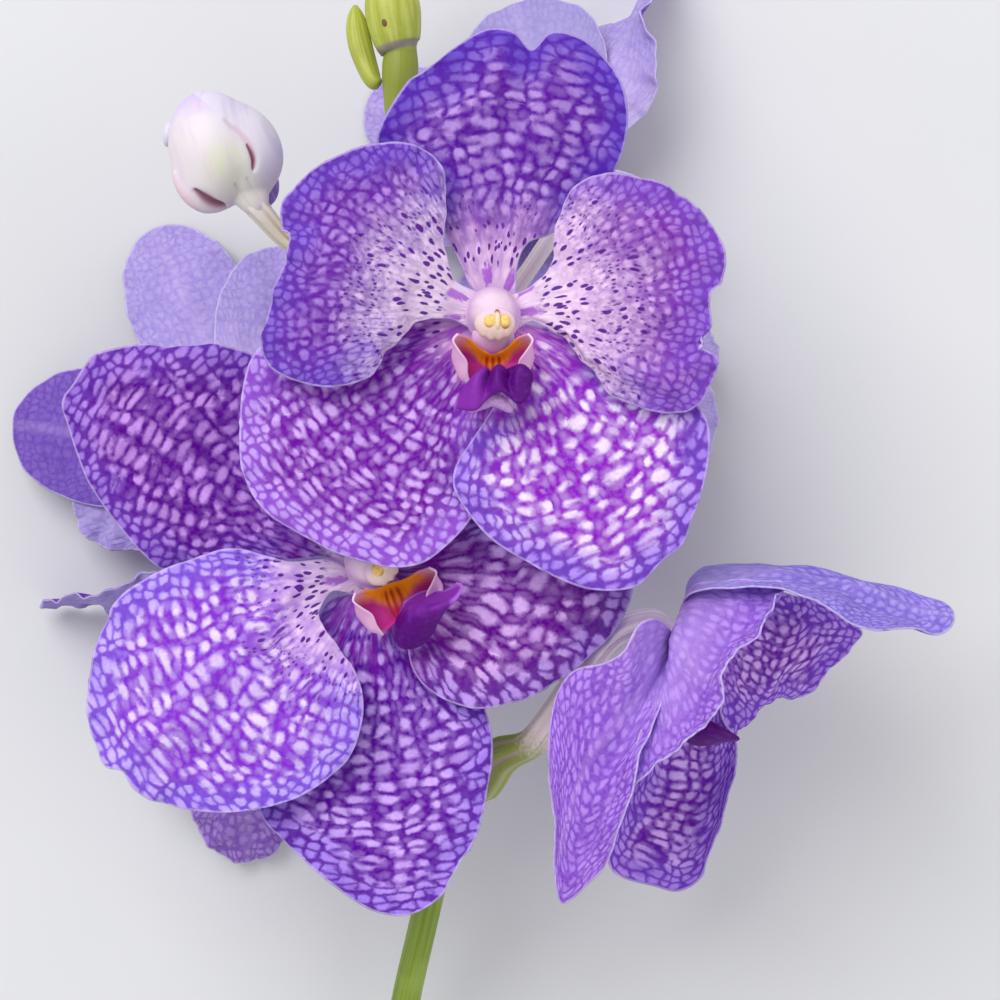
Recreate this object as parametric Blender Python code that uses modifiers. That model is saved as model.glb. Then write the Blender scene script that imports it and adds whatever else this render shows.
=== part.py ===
"""A cut vanda orchid spray laid down on a surface: seven open flowers, an opening bud and two green buds on a stem.

Metres, +Z up. The surface is Z = 0. The spray lies along Y with its cut end at -Y, and the two front flowers face +Z.
A place written (across, down, height) is where an eye EYE_HEIGHT above the surface sees it: across and down count
view units, which are VIEW_UNIT wide at FACE_HEIGHT, and height is in millimetres.
"""

import math

import bpy
from mathutils import Matrix, Vector

MM = 0.001

# Driving sizes, in millimetres
FRONT_FLOWER_WIDTH = 97.0
FRONT_FLOWER_UNITS = 484
EYE_HEIGHT = 600.0
FACE_HEIGHT = 90.0
VIEW_CENTRE = 500
TEPAL_THICK = 0.8
LIP_THICK = 1.2
STEM_CUT_RADIUS = 3.5
STEM_TIP_RADIUS = 2.3
STALK_RADIUS = 1.7
RECEPTACLE_RADIUS = 3.6
CLAW_RADIUS = 4.0
SEAT_GAP = 0.45
DORSAL_LEVEL = -4.0
LATERAL_LEFT_LEVEL = -5.8
LATERAL_RIGHT_LEVEL = -4.2
PETAL_LEVEL = -2.0
RECEPTACLE_LEVEL = -1.0
FLOOR_EASE = 1.5
CUP_FLAT_RADIUS = 12.0
TWIST_START = 0.25
TWIST_RATE = 2.5

VIEW_UNIT = FRONT_FLOWER_WIDTH / FRONT_FLOWER_UNITS

# Middle of the finished spray and its lowest point, in millimetres, which go to the origin
SPRAY_MIDDLE_X = -9.4
SPRAY_MIDDLE_Y = -50.1
SPRAY_LOWEST = 0.37

# Fineness of the meshes
ROWS = 8
COLUMNS = 6
REAR_ROWS = 6
REAR_COLUMNS = 4
TURN_STEPS = 12
EGG_POINTS = 13
EGG_TURN = 156

# Colours, as red, green, blue
SEPAL_COLOUR = (0.30, 0.12, 0.60)
PETAL_COLOUR = (0.45, 0.25, 0.70)
LIP_COLOUR = (0.22, 0.03, 0.30)
COLUMN_COLOUR = (0.85, 0.70, 0.72)
STALK_COLOUR = (0.75, 0.74, 0.55)
STEM_COLOUR = (0.42, 0.52, 0.14)
BUD_COLOUR = (0.86, 0.80, 0.84)
GREEN_COLOUR = (0.50, 0.58, 0.18)

# Stem, from its cut end to its tip
STEM_PATH = [
    (345, 1480, 3.9), (352, 1400, 5.5), (372, 1200, 15), (406, 1000, 27), (428, 905, 35), (450, 800, 43),
    (465, 700, 49), (470, 600, 53), (462, 500, 55), (447, 400, 56), (425, 300, 56), (405, 200, 55),
    (395, 128, 53),
]

# Front flower: margins, clockwise as its face is seen
FRONT_MARGINS = {
    "dorsal_sepal": [
        (450, 262, 85), (446, 230, 84), (428, 195, 83.5), (388, 160, 84.5), (378, 135, 86), (402, 90, 88),
        (425, 71, 89), (478, 33, 89.5), (510, 31, 90), (531, 50, 88), (553, 32, 90), (592, 46, 89),
        (622, 85, 88), (626, 135, 86), (605, 185, 84), (560, 232, 84), (533, 252, 85),
    ],
    "petal_left": [
        (447, 318, 88), (418, 322, 90), (393, 345, 91), (370, 375, 92), (338, 386, 92), (300, 382, 92),
        (267, 363, 91), (263, 335, 91), (275, 290, 92), (290, 242, 94), (281, 220, 92), (288, 195, 92),
        (325, 162, 93), (380, 143, 93), (425, 150, 92), (445, 180, 91), (444, 240, 90), (453, 278, 88),
    ],
    "petal_right": [
        (530, 287, 88), (550, 268, 90), (557, 225, 91), (569, 195, 92), (593, 176, 93), (634, 176, 93),
        (675, 191, 92), (708, 220, 92), (725, 254, 92), (721, 284, 91), (710, 296, 93), (711, 328, 92),
        (699, 345, 94), (716, 358, 92), (711, 385, 91), (687, 411, 91), (652, 410, 91), (613, 395, 91),
        (588, 365, 91), (560, 335, 90), (533, 321, 88),
    ],
    "lateral_left": [
        (483, 360, 84), (486, 400, 84), (486, 445, 84), (483, 485, 84), (468, 522, 85), (430, 558, 86),
        (400, 567, 86.5), (362, 561, 86), (313, 541, 86), (265, 510, 86), (244, 475, 86), (240, 435, 86.5),
        (244, 385, 86.5), (258, 350, 86), (303, 330, 85), (373, 322, 84), (433, 323, 84),
    ],
    "lateral_right": [
        (530, 340, 85), (573, 355, 85.5), (633, 375, 86), (678, 390, 86.5), (705, 417, 87.5), (709, 450, 88),
        (703, 487, 88), (690, 524, 87.5), (681, 544, 88.5), (660, 563, 89), (637, 585, 88), (602, 590, 88.5),
        (563, 580, 89), (500, 545, 88.5), (470, 515, 88), (454, 485, 88), (459, 460, 87.5), (480, 430, 87),
        (500, 395, 86), (511, 362, 85),
    ],
}

# Lower left flower: margins, clockwise as its face is seen
LOW_LEFT_MARGINS = {
    "dorsal_sepal": [
        (325, 558, 69), (288, 560, 68), (240, 568, 67), (197, 575, 67), (161, 568, 68), (123, 531, 70),
        (98, 497, 71), (81, 464, 72), (67, 422, 73), (63, 400, 74), (73, 385, 72), (87, 363, 74),
        (99, 353, 74), (149, 344, 73), (191, 352, 72), (227, 347, 73), (264, 363, 72), (288, 402, 70),
        (303, 455, 69), (317, 508, 69), (334, 537, 69),
    ],
    "petal_left": [
        (334, 590, 72), (320, 611, 74), (324, 630, 75), (353, 668, 76), (363, 710, 76), (350, 755, 76),
        (326, 779, 76), (290, 800, 77), (231, 812, 77), (173, 806, 76), (137, 791, 77), (122, 771, 79),
        (106, 765, 76), (90, 728, 75), (89, 681, 75), (101, 633, 75), (119, 599, 76), (149, 577, 75),
        (182, 563, 75), (218, 551, 76), (245, 550, 76), (288, 562, 75), (327, 560, 72),
    ],
    "lateral_left": [
        (391, 618, 67), (433, 650, 66.5), (471, 681, 66), (488, 719, 67), (492, 757, 68), (485, 800, 69),
        (476, 836, 70), (461, 860, 71), (443, 893, 71), (410, 914, 70), (375, 911, 70), (344, 893, 70),
        (314, 869, 70), (278, 833, 69), (259, 808, 69), (260, 767, 68), (293, 700, 67), (332, 642, 67),
        (349, 613, 68),
    ],
    "lateral_right": [
        (408, 561, 70), (442, 532, 70), (490, 510, 70), (548, 505, 70), (600, 527, 70), (627, 561, 71),
        (632, 592, 72), (615, 630, 72), (590, 655, 72), (560, 680, 71), (520, 700, 71), (481, 708, 72),
        (442, 698, 72), (416, 674, 71.5), (407, 642, 71), (408, 608, 70),
    ],
    "petal_right": [
        (361, 537, 72), (317, 493, 74), (284, 440, 76), (279, 392, 77), (303, 354, 77), (346, 332, 77),
        (389, 335, 77), (423, 359, 76), (440, 402, 75), (437, 450, 74), (423, 493, 73), (404, 532, 72),
    ],
}

# Lower right flower, which is seen from its side: margins, clockwise as its face is seen
LOW_RIGHT_MARGINS = {
    "dorsal_sepal": [
        (683, 606, 73), (688, 590, 78), (712, 581, 83), (767, 581, 86), (815, 600, 86), (847, 622, 83),
        (875, 630, 80), (915, 629, 75), (941, 634, 71), (954, 620, 67), (944, 602, 63), (900, 594, 57),
        (863, 581, 52), (824, 573, 49), (783, 567, 48), (735, 564, 50), (703, 569, 54), (687, 585, 60),
    ],
    "petal_left": [
        (690, 634, 70), (700, 611, 73), (722, 598, 75), (778, 602, 78), (770, 615, 87), (757, 636, 92),
        (729, 659, 95), (723, 678, 96), (722, 703, 95), (707, 723, 92), (667, 759, 86), (638, 783, 80),
        (643, 750, 75), (660, 710, 71), (677, 675, 68),
    ],
    "lateral_left": [
        (679, 662, 72), (672, 683, 80), (657, 715, 88), (641, 752, 92), (634, 785, 90), (607, 861, 80),
        (585, 887, 74), (563, 903, 70), (555, 880, 72), (554, 823, 76), (549, 780, 77), (549, 735, 77),
        (556, 698, 77), (574, 671, 79), (605, 663, 83), (625, 650, 86), (639, 625, 85), (656, 619, 80),
        (671, 632, 74),
    ],
    "lateral_right": [
        (684, 676, 60), (650, 760, 45), (628, 797, 43), (611, 839, 42), (609, 864, 41),
        (622, 877, 40), (655, 886, 40), (678, 891, 40), (700, 878, 41), (713, 845, 42), (727, 803, 43),
        (737, 755, 44), (733, 716, 47), (706, 682, 51),
    ],
    "petal_right": [
        (715, 666, 55), (738, 694, 46), (748, 702, 41), (776, 692, 36), (808, 695, 32),
        (824, 676, 32), (856, 643, 33), (860, 629, 34), (826, 606, 38), (797, 598, 43), (755, 604, 49),
        (720, 628, 56),
    ],
}

# Rear flowers: each tepal as where its tip is seen, across and down, then its width in millimetres,
# its twist in degrees and how far its middle sweeps sideways in millimetres
REAR_LEFT_TEPALS = {
    "dorsal_sepal": (13, 424, 31, 0, 0), "petal_left": (154, 229, 28, 0, 0), "petal_right": (76, 520, 22, 0, 0),
    "lateral_left": (287, 246, 28, 0, 0), "lateral_right": (436, 482, 28, 0, 0),
}
REAR_TOP_TEPALS = {
    "dorsal_sepal": (514, 3, 33, 0, 0), "petal_left": (366, 106, 26, 0, 0), "petal_right": (668, -52, 28, 84, 0),
    "lateral_left": (402, 212, 22, 0, 0), "lateral_right": (664, 266, 22, 0, 0),
}
REAR_RIGHT_TEPALS = {
    "dorsal_sepal": (486, 254, 38, 0, 0), "petal_left": (504, 500, 26, 0, 0), "petal_right": (690, 305, 30, 0, 0),
    "lateral_left": (636, 546, 28, 0, 0), "lateral_right": (713, 443, 26, 0, 0),
}
REAR_LOW_TEPALS = {
    "dorsal_sepal": (132, 742, 28, 0, 0), "petal_left": (248, 862, 25, 0, 0), "petal_right": (40, 606, 22, 84, -5),
    "lateral_left": (338, 748, 28, 0, 0), "lateral_right": (324, 556, 26, 0, 0),
}

# How far the middle of a traced tepal domes out of the smooth sheet between its margins
FRONT_LIFTS = {
    "dorsal_sepal": (0, 0, 1.0), "petal_left": (0, 0, 1.5), "petal_right": (0, 0, 1.5),
    "lateral_left": (0, 0, 0.8), "lateral_right": (0, 0, 1.0),
}
SIDE_LIFTS = {"dorsal_sepal": (0, 1, 0), "lateral_right": (0, 0, -5)}

# Flowers: middle of the face, the way it faces, its upward way, its rearward stalk route and where that leaves the stem
FLOWERS = {
    "front": {
        "middle": (493, 315, 88), "face": (0, 0, 1), "up": (0, 1, 0), "stem_down": 460,
        "route": [(466, 430, 64), (481, 372, 70)], "margins": FRONT_MARGINS, "lifts": FRONT_LIFTS,
    },
    "low_left": {
        "middle": (375, 575, 72), "face": (0.05, 0, 1), "up": (-0.84, 0.54, 0), "stem_down": 690,
        "route": [(437, 665, 54), (398, 612, 58)], "margins": LOW_LEFT_MARGINS, "lifts": FRONT_LIFTS,
    },
    "low_right": {
        "middle": (692, 652, 66), "face": (0.82, -0.56, -0.1), "up": (0.56, 0.82, 0.05), "stem_down": 775,
        "route": [(500, 757, 50), (530, 744, 54), (556, 712, 60), (590, 662, 66), (622, 628, 68)],
        "margins": LOW_RIGHT_MARGINS, "lifts": SIDE_LIFTS,
    },
    "rear_left": {
        "middle": (262, 460, 28), "face": (-0.1, 0, -1), "up": (-1, 0.1, 0), "stem_down": 510,
        "route": [(420, 485, 55), (350, 466, 52), (300, 461, 46)], "tepals": REAR_LEFT_TEPALS, "cup": 0.64,
    },
    "rear_top": {
        "middle": (566, 165, 28), "face": (0.05, 0.1, -1), "up": (-0.3, 0.95, 0), "stem_down": 400,
        "route": [(480, 345, 50), (525, 275, 49), (556, 226, 47)], "tepals": REAR_TOP_TEPALS, "cup": 0.72,
    },
    "rear_right": {
        "middle": (596, 402, 27), "face": (0.1, -0.05, -1), "up": (-0.6, 0.8, 0), "stem_down": 580,
        "route": [(505, 540, 50), (555, 455, 46)], "tepals": REAR_RIGHT_TEPALS, "cup": 0.72,
    },
    "rear_low": {
        "middle": (236, 652, 28), "face": (-0.1, -0.05, -1), "up": (-0.75, -0.66, 0), "stem_down": 745,
        "route": [(400, 735, 45), (320, 692, 44), (268, 661, 42)], "tepals": REAR_LOW_TEPALS, "cup": 0.72,
    },
}
CLAW_WIDTHS = {
    "dorsal_sepal": 8.0, "petal_left": 5.0, "petal_right": 5.0, "lateral_left": 5.6, "lateral_right": 5.6,
}
CLAW_LEVELS = {
    "dorsal_sepal": DORSAL_LEVEL, "petal_left": PETAL_LEVEL, "petal_right": PETAL_LEVEL,
    "lateral_left": LATERAL_LEFT_LEVEL, "lateral_right": LATERAL_RIGHT_LEVEL,
}

# Lip: half of each cross-section from the column outward, middle first, in millimetres in the flower's own frame
LIP_SECTIONS = [
    [(0, -4.2, 0.4), (2.2, -4.1, 0.8), (4.6, -4.0, 2.6), (6.6, -3.8, 6.4)],
    [(0, -7.0, 0.8), (2.6, -6.8, 1.2), (5.8, -6.4, 3.6), (8.2, -6.8, 8.2)],
    [(0, -9.6, 2.2), (2.4, -9.8, 2.4), (5.2, -10.2, 4.2), (7.4, -11.0, 7.0)],
    [(0, -11.4, 5.2), (1.8, -11.7, 5.0), (3.4, -12.0, 4.9), (4.6, -12.4, 5.0)],
    [(0, -13.2, 8.4), (2.4, -13.8, 8.0), (4.6, -14.8, 7.2), (6.2, -15.8, 6.6)],
    [(0, -14.6, 11.0), (2.8, -15.4, 11.0), (5.8, -16.8, 9.8), (8.0, -18.4, 8.6)],
    [(0, -15.4, 12.4), (2.0, -16.4, 12.6), (4.4, -17.8, 11.8), (6.2, -19.2, 10.8)],
]

# Column profile as radius and height, top first, in millimetres in the flower's own frame
COLUMN_PROFILE = [(0.0, 8.4), (1.8, 8.0), (3.4, 6.6), (4.1, 4.6), (3.8, 2.4), (3.4, 0.6), (3.3, -0.6), (0.0, -0.6)]

# Buds: each place along one, with its radius there in millimetres
OPENING_BUD_DOWN = 288
OPENING_BUD = [
    ((372, 276, 61), 1.8), ((325, 262, 63), 1.8), ((290, 243, 65), 2.1), ((262, 213, 67), 2.7),
    ((250, 196, 68), 3.4), ((244, 187, 68), 7.4), ((234, 172, 68), 10.8), ((223, 150, 68), 12.0),
    ((214, 128, 68), 10.8), ((207, 108, 68), 7.6), ((204, 97, 68), 3.8), ((203, 91, 68), 1.0),
]
LARGE_GREEN_BUD = [
    ((395, 125.5, 53), 2.1), ((395.5, 115, 53), 2.3), ((397, 98, 53), 3.0), ((399, 82, 53), 3.7),
    ((400, 66, 53), 3.9), ((400, 52, 53), 3.6), ((398, 46, 53), 4.6), ((395, 30, 53), 5.6),
    ((392, 8, 53), 6.0), ((390, -14, 53), 5.0), ((389, -30, 53), 2.8), ((389, -37, 53), 0.8),
]
SLENDER_GREEN_BUD = [
    ((378, 84, 52.5), 1.3), ((372, 79, 52), 1.9), ((365, 62, 51), 2.4), ((359, 42, 51), 2.6),
    ((356, 22, 51), 2.2), ((355, 7, 51), 0.7),
]


def clear_scene():
    for old in list(bpy.data.objects):
        bpy.data.objects.remove(old, do_unlink=True)


def material(name, colour, roughness):
    made = bpy.data.materials.new(name)
    made.use_nodes = True
    shader = made.node_tree.nodes["Principled BSDF"]
    shader.inputs["Base Color"].default_value = (*colour, 1)
    shader.inputs["Roughness"].default_value = roughness
    return made


def spot(place):
    """The point, in millimetres, that the eye sees at this place."""
    across, down, height = place
    unit = VIEW_UNIT * (EYE_HEIGHT - height) / (EYE_HEIGHT - FACE_HEIGHT)
    return Vector(((across - VIEW_CENTRE) * unit, (VIEW_CENTRE - down) * unit, height))


def catmull(before, start, end, after, part):
    """A point between start and end on the smooth curve through the four."""
    square = part * part
    cube = square * part
    return 0.5 * (
        2 * start
        + (end - before) * part
        + (2 * before - 5 * start + 4 * end - after) * square
        + (3 * start - before - 3 * end + after) * cube
    )


def smooth_points(points, count):
    """Count points, evenly apart by chord length, on a smooth open curve through these points."""
    lengths = [0.0]
    for start, end in zip(points, points[1:]):
        lengths.append(lengths[-1] + (end - start).length)
    made = []
    for index in range(count):
        want = lengths[-1] * index / (count - 1)
        span = 0
        while span < len(points) - 2 and lengths[span + 1] < want:
            span += 1
        part = (want - lengths[span]) / (lengths[span + 1] - lengths[span])
        before = points[max(span - 1, 0)]
        after = points[min(span + 2, len(points) - 1)]
        made.append(catmull(before, points[span], points[span + 1], after, part))
    return made


def ease_off_floor(point, thick):
    """The point lifted smoothly so that a sheet this thick stays above the surface."""
    depth = point.z - thick / 2
    lifted = thick / 2 + 0.5 * (depth + math.sqrt(depth * depth + FLOOR_EASE * FLOOR_EASE))
    return Vector((point.x, point.y, lifted))


def finished(point):
    """A millimetre point in the part's frame, in metres."""
    return Vector((point.x - SPRAY_MIDDLE_X, point.y - SPRAY_MIDDLE_Y, point.z - SPRAY_LOWEST)) * MM


def add_object(name, data, collection, surface):
    made = bpy.data.objects.new(name, data)
    made.data.materials.append(surface)
    collection.objects.link(made)
    return made


def add_sheet(name, grid, thick, collection, surface):
    """A closed sheet of even thickness about a grid of millimetre points."""
    across = len(grid[0])
    points = [finished(point) for row in grid for point in row]
    faces = []
    for row in range(len(grid) - 1):
        for column in range(across - 1):
            corner = row * across + column
            faces.append((corner, corner + 1, corner + across + 1, corner + across))
    mesh = bpy.data.meshes.new(name)
    mesh.from_pydata(points, [], faces)
    made = add_object(name, mesh, collection, surface)
    shell = made.modifiers.new("Thickness", "SOLIDIFY")
    shell.thickness = thick * MM
    shell.offset = 0
    return made


def add_tube(name, centres, radii, collection, surface):
    """A closed tube through millimetre points, with a radius in millimetres at each."""
    curve = bpy.data.curves.new(name, "CURVE")
    curve.dimensions = "3D"
    curve.bevel_depth = MM
    curve.bevel_resolution = 2
    curve.use_fill_caps = True
    spline = curve.splines.new("POLY")
    spline.points.add(len(centres) - 1)
    for place, centre, radius in zip(spline.points, centres, radii):
        place.co = (*finished(centre), 1)
        place.radius = radius
    return add_object(name, curve, collection, surface)


def flower_frame(flower):
    """The flower's middle and its right, up and face directions."""
    face = Vector(flower["face"]).normalized()
    up = Vector(flower["up"])
    up = (up - face * up.dot(face)).normalized()
    return spot(flower["middle"]), up.cross(face), up, face


def claw_line(flower, name, toward, start, end):
    """The two ends of a tepal's claw beside the receptacle, in the order of its margin's ends."""
    middle, right, up, face = flower_frame(flower)
    out = toward - middle
    out = (out - face * out.dot(face)).normalized()
    side = face.cross(out)
    if side.dot(end - start) < 0:
        side = -side
    half = side * CLAW_WIDTHS[name] / 2
    root = middle + out * CLAW_RADIUS + face * CLAW_LEVELS[name]
    return root - half, root + half


def patch(left, right, base, tip, lift):
    """A smooth grid of points between four lines that meet at their ends, domed by lift at its middle."""
    rows = len(left) - 1
    columns = len(base) - 1
    grid = []
    for row in range(rows + 1):
        along = row / rows
        line = []
        for column in range(columns + 1):
            across = column / columns
            sides = left[row].lerp(right[row], across)
            ends = base[column].lerp(tip[column], along)
            corners = left[0].lerp(right[0], across).lerp(left[-1].lerp(right[-1], across), along)
            dome = 16 * along * (1 - along) * across * (1 - across)
            line.append(sides + ends - corners + lift * dome)
        grid.append(line)
    return grid


def tepal_grid(claw_start, margin, claw_end, rows, columns, lift):
    """A grid of points from the claw to the tip, inside this margin."""
    around = smooth_points([claw_start, *margin, claw_end], 2 * rows + columns + 1)
    left = around[:rows + 1]
    tip = around[rows:rows + columns + 1]
    right = around[rows + columns:][::-1]
    base = [claw_start.lerp(claw_end, column / columns) for column in range(columns + 1)]
    return patch(left, right, base, tip, lift)


def traced_tepal(flower, name):
    """The grid of a tepal whose margin is given place by place."""
    margin = [spot(place) for place in flower["margins"][name]]
    toward = sum(margin, Vector()) / len(margin)
    claw_start, claw_end = claw_line(flower, name, toward, margin[0], margin[-1])
    lift = Vector(flower["lifts"].get(name, (0, 0, 0)))
    return tepal_grid(claw_start, margin, claw_end, ROWS, COLUMNS, lift)


def cup_height(flower, level, radius):
    """How far in front of the flower's middle its cup lies at this radius, for a tepal at this level."""
    return level + flower["cup"] * radius * radius / (radius + CUP_FLAT_RADIUS)


def tip_in_cup(flower, level, across, down):
    """Where the flower's cup, at this level, is seen at this place, as a vector in its face plane."""
    middle, right, up, face = flower_frame(flower)
    point = spot((across, down, middle.z))
    for attempt in range(8):
        out = point - middle
        out = out - face * out.dot(face)
        height = (middle + out + face * cup_height(flower, level, out.length)).z
        point = spot((across, down, height))
    return out


def cupped_tepal(flower, name):
    """The grid of a tepal given by its tip, width, twist and sweep, lying in the flower's cup."""
    across_tip, down_tip, width, twist, sweep = flower["tepals"][name]
    middle, right, up, face = flower_frame(flower)
    level = CLAW_LEVELS[name]
    out = tip_in_cup(flower, level, across_tip, down_tip)
    length = out.length - CLAW_RADIUS
    out = out.normalized()
    side = out.cross(face)
    margin = []
    for index in range(EGG_POINTS):
        turn = math.radians(-EGG_TURN + 2 * EGG_TURN * index / (EGG_POINTS - 1))
        forward = CLAW_RADIUS + length * (1 + math.cos(turn)) / 2
        margin.append(out * forward + side * math.sin(turn) * (1 + 0.2 * math.cos(turn)) * width / 2)
    claw_start = out * CLAW_RADIUS - side * CLAW_WIDTHS[name] / 2
    claw_end = out * CLAW_RADIUS + side * CLAW_WIDTHS[name] / 2
    flat_grid = tepal_grid(claw_start, margin, claw_end, REAR_ROWS, REAR_COLUMNS, Vector())
    grid = []
    for line in flat_grid:
        row = []
        for flat in line:
            forward = (flat.dot(out) - CLAW_RADIUS) / length
            turn = math.radians(twist * max(0, min(1, TWIST_RATE * (forward - TWIST_START))))
            sideways = flat.dot(side)
            swept = side * sweep * 4 * forward * (1 - forward)
            turned = flat - side * sideways * (1 - math.cos(turn)) + swept
            height = cup_height(flower, level, turned.length) + sideways * math.sin(turn)
            row.append(ease_off_floor(middle + turned + face * height, TEPAL_THICK))
        grid.append(row)
    return grid


def lip_grid(flower):
    """The lip as rows of points across, from the column outward."""
    middle, right, up, face = flower_frame(flower)
    grid = []
    for half in LIP_SECTIONS:
        row = [(-x, y, z) for x, y, z in reversed(half[1:])] + half
        grid.append([middle + right * x + up * y + face * z for x, y, z in row])
    return grid


def add_column(name, flower, collection, surface):
    """The column, turned about the flower's own axis."""
    middle, right, up, face = flower_frame(flower)
    mesh = bpy.data.meshes.new(name)
    points = [(radius * MM, 0, height * MM) for radius, height in COLUMN_PROFILE]
    mesh.from_pydata(points, [(index, index + 1) for index in range(len(points) - 1)], [])
    made = add_object(name, mesh, collection, surface)
    turn = made.modifiers.new("Turn", "SCREW")
    turn.steps = TURN_STEPS
    turn.render_steps = TURN_STEPS
    turn.use_merge_vertices = True
    turn.merge_threshold = 0.00001
    turn.use_normal_calculate = True
    axes = Matrix((right, up, face)).transposed().to_4x4()
    made.matrix_world = Matrix.Translation(finished(middle)) @ axes
    return made


def stem_places():
    """The stem's centre line, in millimetres, and its radius at each point."""
    centres = smooth_points([spot(place) for place in STEM_PATH], 22)
    radii = []
    for index in range(len(centres)):
        part = index / (len(centres) - 1)
        radii.append(STEM_CUT_RADIUS + (STEM_TIP_RADIUS - STEM_CUT_RADIUS) * part ** 1.5)
    return centres, radii


def stem_at(down):
    """The stem's centre, radius and direction at this distance down the view."""
    centres, radii = stem_places()
    best = None
    for index in range(len(centres) - 1):
        for step in range(20):
            centre = centres[index].lerp(centres[index + 1], step / 20)
            miss = abs(seen_down(centre) - down)
            if best is None or miss < best[0]:
                best = (miss, centre, radii[index], (centres[index + 1] - centres[index]).normalized())
    return best[1], best[2], best[3]


def seen_down(point):
    unit = VIEW_UNIT * (EYE_HEIGHT - point.z) / (EYE_HEIGHT - FACE_HEIGHT)
    return VIEW_CENTRE - point.y / unit


def off_stem(down, toward):
    """A point just off the stem at this distance down the view, and the way square to the stem toward another."""
    axis, radius, along = stem_at(down)
    way = toward - axis
    way = (way - along * way.dot(along)).normalized()
    return axis + way * (radius + SEAT_GAP), way


def add_flower_stalk(name, flower, collection, surface):
    """The flower's stalk from just off the stem to the receptacle behind its face."""
    middle, right, up, face = flower_frame(flower)
    route = [spot(place) for place in flower["route"]]
    first, way = off_stem(flower["stem_down"], route[0])
    last = middle + face * RECEPTACLE_LEVEL
    swell = middle + face * (RECEPTACLE_LEVEL - 6)
    neck = middle + face * (RECEPTACLE_LEVEL - 10)
    bends = [first + way * 3, *route, neck]
    centres = [first] + smooth_points(bends, 8) + [swell, last]
    radii = [STALK_RADIUS] * 8 + [STALK_RADIUS * 1.15, RECEPTACLE_RADIUS, RECEPTACLE_RADIUS]
    return add_tube(name, centres, radii, collection, surface)


def add_bud(name, places, collection, surface):
    centres = [spot(place) for place, radius in places]
    return add_tube(name, centres, [radius for place, radius in places], collection, surface)


def add_opening_bud(name, collection, surface):
    """The opening bud with its own stalk, from just off the stem."""
    centres = [spot(place) for place, radius in OPENING_BUD]
    radii = [radius for place, radius in OPENING_BUD]
    first, way = off_stem(OPENING_BUD_DOWN, centres[0])
    return add_tube(name, [first, first + way * 3, *centres], [STALK_RADIUS, STALK_RADIUS, *radii], collection, surface)


def add_flower(name, flower, collection, surfaces):
    for tepal in CLAW_WIDTHS:
        grid = traced_tepal(flower, tepal) if "margins" in flower else cupped_tepal(flower, tepal)
        surface = surfaces["petal"] if tepal.startswith("petal") else surfaces["sepal"]
        add_sheet(f"{name}_{tepal}", grid, TEPAL_THICK, collection, surface)
    add_sheet(f"{name}_lip", lip_grid(flower), LIP_THICK, collection, surfaces["lip"])
    add_column(f"{name}_column", flower, collection, surfaces["column"])
    add_flower_stalk(f"{name}_stalk", flower, collection, surfaces["stalk"])


def main():
    clear_scene()
    collection = bpy.data.collections.new("cut_vanda_orchid")
    bpy.context.scene.collection.children.link(collection)
    surfaces = {
        "sepal": material("sepal", SEPAL_COLOUR, 0.6),
        "petal": material("petal", PETAL_COLOUR, 0.6),
        "lip": material("lip", LIP_COLOUR, 0.5),
        "column": material("column", COLUMN_COLOUR, 0.5),
        "stalk": material("stalk", STALK_COLOUR, 0.6),
        "stem": material("stem", STEM_COLOUR, 0.6),
        "bud": material("bud", BUD_COLOUR, 0.6),
        "green_bud": material("green_bud", GREEN_COLOUR, 0.6),
    }
    centres, radii = stem_places()
    add_tube("stem", centres, radii, collection, surfaces["stem"])
    for name, flower in FLOWERS.items():
        add_flower(name, flower, collection, surfaces)
    add_opening_bud("opening_bud", collection, surfaces["bud"])
    add_bud("large_green_bud", LARGE_GREEN_BUD, collection, surfaces["green_bud"])
    add_bud("slender_green_bud", SLENDER_GREEN_BUD, collection, surfaces["green_bud"])


main()
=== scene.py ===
"""Looks of the cut vanda orchid spray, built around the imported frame.

A place written (across, down, height) is where an eye EYE_HEIGHT above the surface sees it. Across and down
count view units, which are VIEW_UNIT wide at FACE_HEIGHT. Height and every other size are in millimetres.
"""

import math

import bpy
import numpy as np
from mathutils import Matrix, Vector


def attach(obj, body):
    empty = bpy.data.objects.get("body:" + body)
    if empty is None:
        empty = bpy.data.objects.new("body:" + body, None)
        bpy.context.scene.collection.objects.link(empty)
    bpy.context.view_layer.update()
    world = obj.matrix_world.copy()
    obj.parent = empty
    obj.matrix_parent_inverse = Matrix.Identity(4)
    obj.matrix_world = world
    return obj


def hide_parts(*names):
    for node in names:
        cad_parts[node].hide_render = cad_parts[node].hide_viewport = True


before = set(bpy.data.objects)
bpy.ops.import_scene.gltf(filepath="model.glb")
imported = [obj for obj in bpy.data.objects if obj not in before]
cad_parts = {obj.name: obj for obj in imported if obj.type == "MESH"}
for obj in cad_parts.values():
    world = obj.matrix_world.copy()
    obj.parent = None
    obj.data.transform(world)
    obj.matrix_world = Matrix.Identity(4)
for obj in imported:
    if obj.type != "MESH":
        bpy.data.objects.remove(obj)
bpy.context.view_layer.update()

# Driving sizes, as in the part
MM = 0.001
VIEW_UNIT = 97.0 / 484
EYE_HEIGHT = 600.0
FACE_HEIGHT = 90.0
VIEW_CENTRE = 500
VIEW_UNITS = 1000
SPRAY_MIDDLE = (-9.4, -50.1, 0.37)
STEM_CUT_RADIUS = 3.5
STEM_TIP_RADIUS = 2.3
STALK_RADIUS = 1.7
CLAW_RADIUS = 4.0
SEAT_GAP = 0.45
DORSAL_LEVEL = -4.0
LATERAL_LEFT_LEVEL = -5.8
LATERAL_RIGHT_LEVEL = -4.2
PETAL_LEVEL = -2.0
RECEPTACLE_LEVEL = -1.0
FLOOR_EASE = 1.5
CUP_FLAT_RADIUS = 12.0
TWIST_START = 0.25
TWIST_RATE = 2.5
EGG_POINTS = 13
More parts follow.
